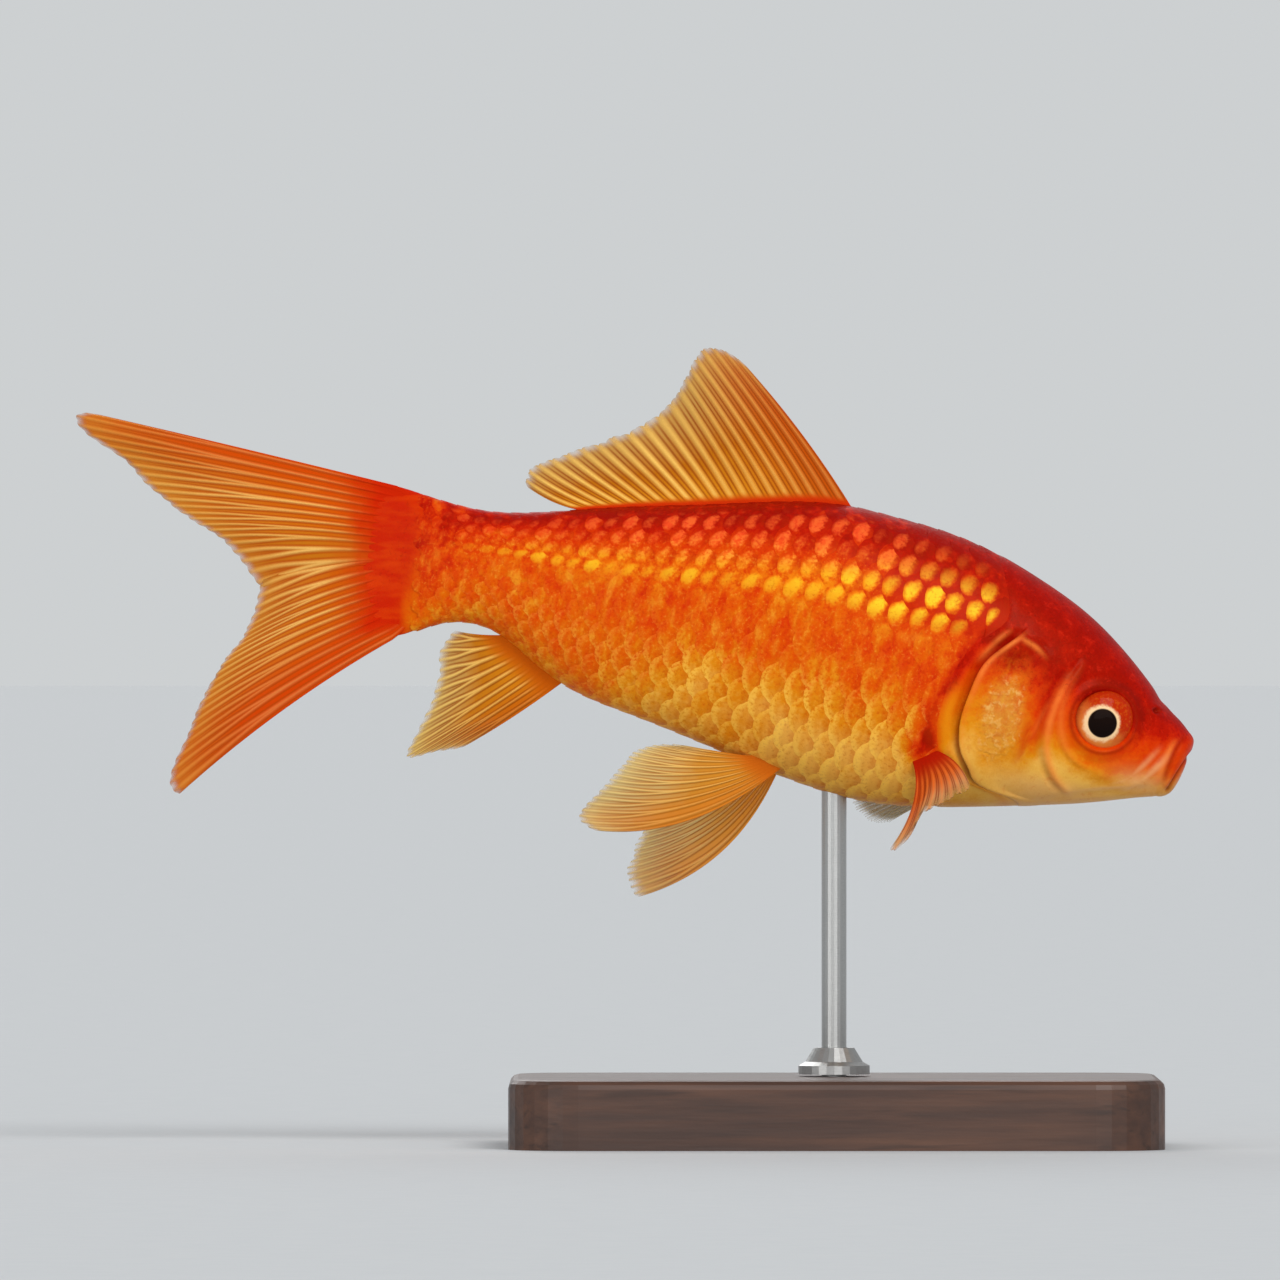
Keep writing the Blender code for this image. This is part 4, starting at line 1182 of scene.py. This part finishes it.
FIN_PAINTS = {  # its name; root, low, middle, edge, ray and furrow; how clear it is; and the rest
    "dorsal_fin": (
        "dorsal_fin_skin", (206, 46, 4), (218, 136, 22), (190, 108, 12), (204, 156, 78), (255, 206, 104),
        (146, 58, 3), 0.08, {"lead": (196, 74, 6), "foot": (0.1, 1.5)}),
    "tail_fin_upper": (
        "upper_tail_skin", TAIL_RED, (220, 80, 5), (214, 100, 6), (210, 134, 42), (255, 208, 116),
        (182, 70, 4), 0.04, {"lead": (214, 68, 3), "rear": (202, 116, 20), "foot": (2.0, 11.0)}),
    "tail_fin_lower": (
        "lower_tail_skin", TAIL_RED, (214, 76, 5), (206, 100, 10), (208, 132, 42), (255, 208, 116),
        (176, 64, 4), 0.04, {"rear": (212, 62, 3), "foot": (2.0, 11.0), "low_edge": 9.0}),
    "anal_fin": (
        "lower_fin_skin", (206, 92, 8), (214, 128, 18), (196, 118, 20), (214, 184, 104), (255, 210, 112),
        (150, 70, 4), 0.12, {"lead": (202, 98, 12), "foot": (0.5, 4.0)}),
    # the far belly fin is painted paler and brighter than the near one, as painted light against the shade it
    # lies in
    "pelvic_fin_left": (
        "far_belly_fin_skin", (244, 140, 40), (246, 160, 50), (248, 184, 84), (240, 214, 140),
        (255, 238, 170), (194, 102, 20), 0.2, {"lead": (252, 166, 62), "foot": (0.5, 4.0)}),
    "pelvic_fin_right": (
        "belly_fin_skin", (200, 96, 16), (206, 132, 34), (206, 138, 46), (218, 198, 132), (252, 202, 108),
        (174, 100, 18), 0.16, {"lead": (206, 120, 34), "foot": (0.5, 5.0)}),
    "pectoral_fin_right": (
        "breast_fin_skin", (172, 22, 3), (184, 36, 4), (196, 84, 26), (208, 166, 108), (232, 108, 40),
        (140, 24, 2), 0.12, {"foot": (0.0, 3.0)}),
    "pectoral_fin_left": (
        "far_breast_fin_skin", (196, 130, 60), (196, 150, 84), (190, 160, 100), (190, 172, 116),
        (214, 190, 128), (166, 120, 60), 0.45, {}),
}
for name, (*paints, rest) in FIN_PAINTS.items():
    fins[name].data.materials.append(fin_finish(*paints, **rest))

# %% [markdown]
# ## The eyes
# A goldfish's eye is a flattened ball that stands a little proud of its socket, with a broad front that
# swells over the round black pupil, a thin cream ring and an orange iris. The ball starts as a sphere
# whose poles are turned to the side, so that its rings of points are the rings of the iris.

# %% Shape the eyes
PUPIL, CREAM_RING, IRIS_EDGE = 1.80, 2.25, 3.75
PUPIL_AT, RING_AT = (-0.46, -0.45), (-0.54, -0.51)  # both look a little back and down


def make_eye(side, sign):
    """An eyeball in its socket, that keeps how far each point is from the pupil and from the cream ring."""
    bpy.ops.object.select_all(action="DESELECT")
    bpy.ops.mesh.primitive_uv_sphere_add(segments=72, ring_count=48, radius=1)
    eye = bpy.context.object
    eye.name = eye.data.name = f"eyeball_{side}"
    eye.data.uv_layers[0].name = "OFBake"
    places = np.empty(len(eye.data.vertices) * 3)
    eye.data.vertices.foreach_get("co", places)
    x, z, y = places.reshape(-1, 3).T
    rim = np.hypot(x, z)
    flat = np.sign(y) * np.sqrt(np.clip(1 - rim**2.8, 0, 1))
    bulge = 0.12 * smooth(0.55, 0.1, rim) - 0.05 * bell(rim, 0.62, 0.07)  # over the pupil and round the iris
    x, z, y = EYE_RADIUS * x, EYE_RADIUS * z, (0.94 * EYE_DEPTH * flat + bulge * (y > 0)) * sign
    turned_s = EYE_AT[0] - (x * math.cos(EYE_TURN) + sign * y * math.sin(EYE_TURN))
    turned_y = sign * EYE_OUT + y * math.cos(EYE_TURN) - sign * x * math.sin(EYE_TURN)
    eye.data.vertices.foreach_set("co", placed(turned_s, turned_y, EYE_AT[1] + z).ravel())
    from_pupil, from_middle = np.hypot(x - PUPIL_AT[0], z - PUPIL_AT[1]), np.hypot(x, z)
    from_pupil = between((from_pupil, from_middle), smooth(2.3, 3.7, from_middle))
    paint(eye, "from_pupil", np.where(y * sign > 0, from_pupil, 5.0))
    paint(eye, "from_ring", np.hypot(x - RING_AT[0], z - RING_AT[1]))
    paint(eye, "height", 0.85 * z + 0.5 * x)
    merged(eye, 1e-8)
    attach(eye, "root")
    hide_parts(f"eye_{side}")
    return eye


eyes = [make_eye(side, sign) for side, sign in SIDES.items()]


# %% Paint for the eyes
def eye_finish():
    f = Finish("goldfish_eye", Roughness=0.5, Specular_IOR_Level=0.1, Specular_Tint=WARM_SHEEN,
               Coat_Weight=0.08, Coat_Roughness=0.03)
    r, height = f.attribute("from_pupil"), f.attribute("height")
    fleck, cloud = f.noise(2600, 3), f.noise(900, 3)
    ragged = f.attribute("from_ring") + (fleck - 0.5) * 0.6 + (cloud - 0.5) * 0.5
    iris = f.mix(f.band(height + (cloud - 0.5) * 2, -3.0, 1.2), tint(228, 138, 60), tint(188, 40, 3))
    iris = f.mix(f.band(fleck, 0.48, 0.70) * 0.22, iris, tint(236, 132, 34))
    colour = f.coats(
        f.mix(f.band(ragged, CREAM_RING - 0.15, CREAM_RING + 0.4), tint(252, 212, 160), iris),
        (f.band(r + (cloud - 0.5) * 0.5, IRIS_EDGE - 0.5, IRIS_EDGE + 0.3) * 0.6, 168, 34, 3),
        (1 - f.band(r, PUPIL - 0.02, PUPIL + 0.18), 5, 4, 6),
    )
    f.set(Base_Color=colour)
    return f.material


eye_paint = eye_finish()
for eye in eyes:
    eye.data.materials.append(eye_paint)
print("eyes:", [e.name for e in eyes])

# %% [markdown]
# ## The stand
# The base, the rod and its collar are the frame's own solids. They only need their finish: dark oiled
# wood with a long grain, and satin steel brushed round the rod.

# %% Wood and steel
def wood_finish():
    f = Finish("dark_wood", Coat_Weight=0.15, Coat_Roughness=0.3)
    wave, pore = f.noise(270, 5, stretch=(11.25, 1, 1), roughness=0.6), f.noise(900, 2, stretch=(16, 1, 1))
    colour = f.ramp(wave, (0.25, tint(44, 26, 18)), (0.5, tint(72, 44, 30)), (0.75, tint(98, 62, 42)))
    colour = f.mix(f.band(pore, 0.55, 0.75) * 0.5, colour, tint(30, 18, 12))
    f.set(Base_Color=colour, Roughness=pore * 0.25 + 0.36)
    f.bump(wave * 0.5 + pore, 0.00008, 0.6)
    return f.material


def steel_finish():
    f = Finish("brushed_steel", Metallic=1.0)
    brush = f.noise(1500, 4, stretch=(1.0, 1.0, 0.083))
    f.set(Base_Color=f.mix(brush, tint(168, 168, 166), tint(206, 206, 204)), Roughness=brush * 0.2 + 0.24)
    f.bump(brush, 0.00002, 0.5)
    return f.material


wood, steel = wood_finish(), steel_finish()
for node, finish in {"stand_base": wood, "stand_rod": steel, "stand_collar": steel}.items():
    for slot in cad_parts[node].material_slots:
        slot.material = finish
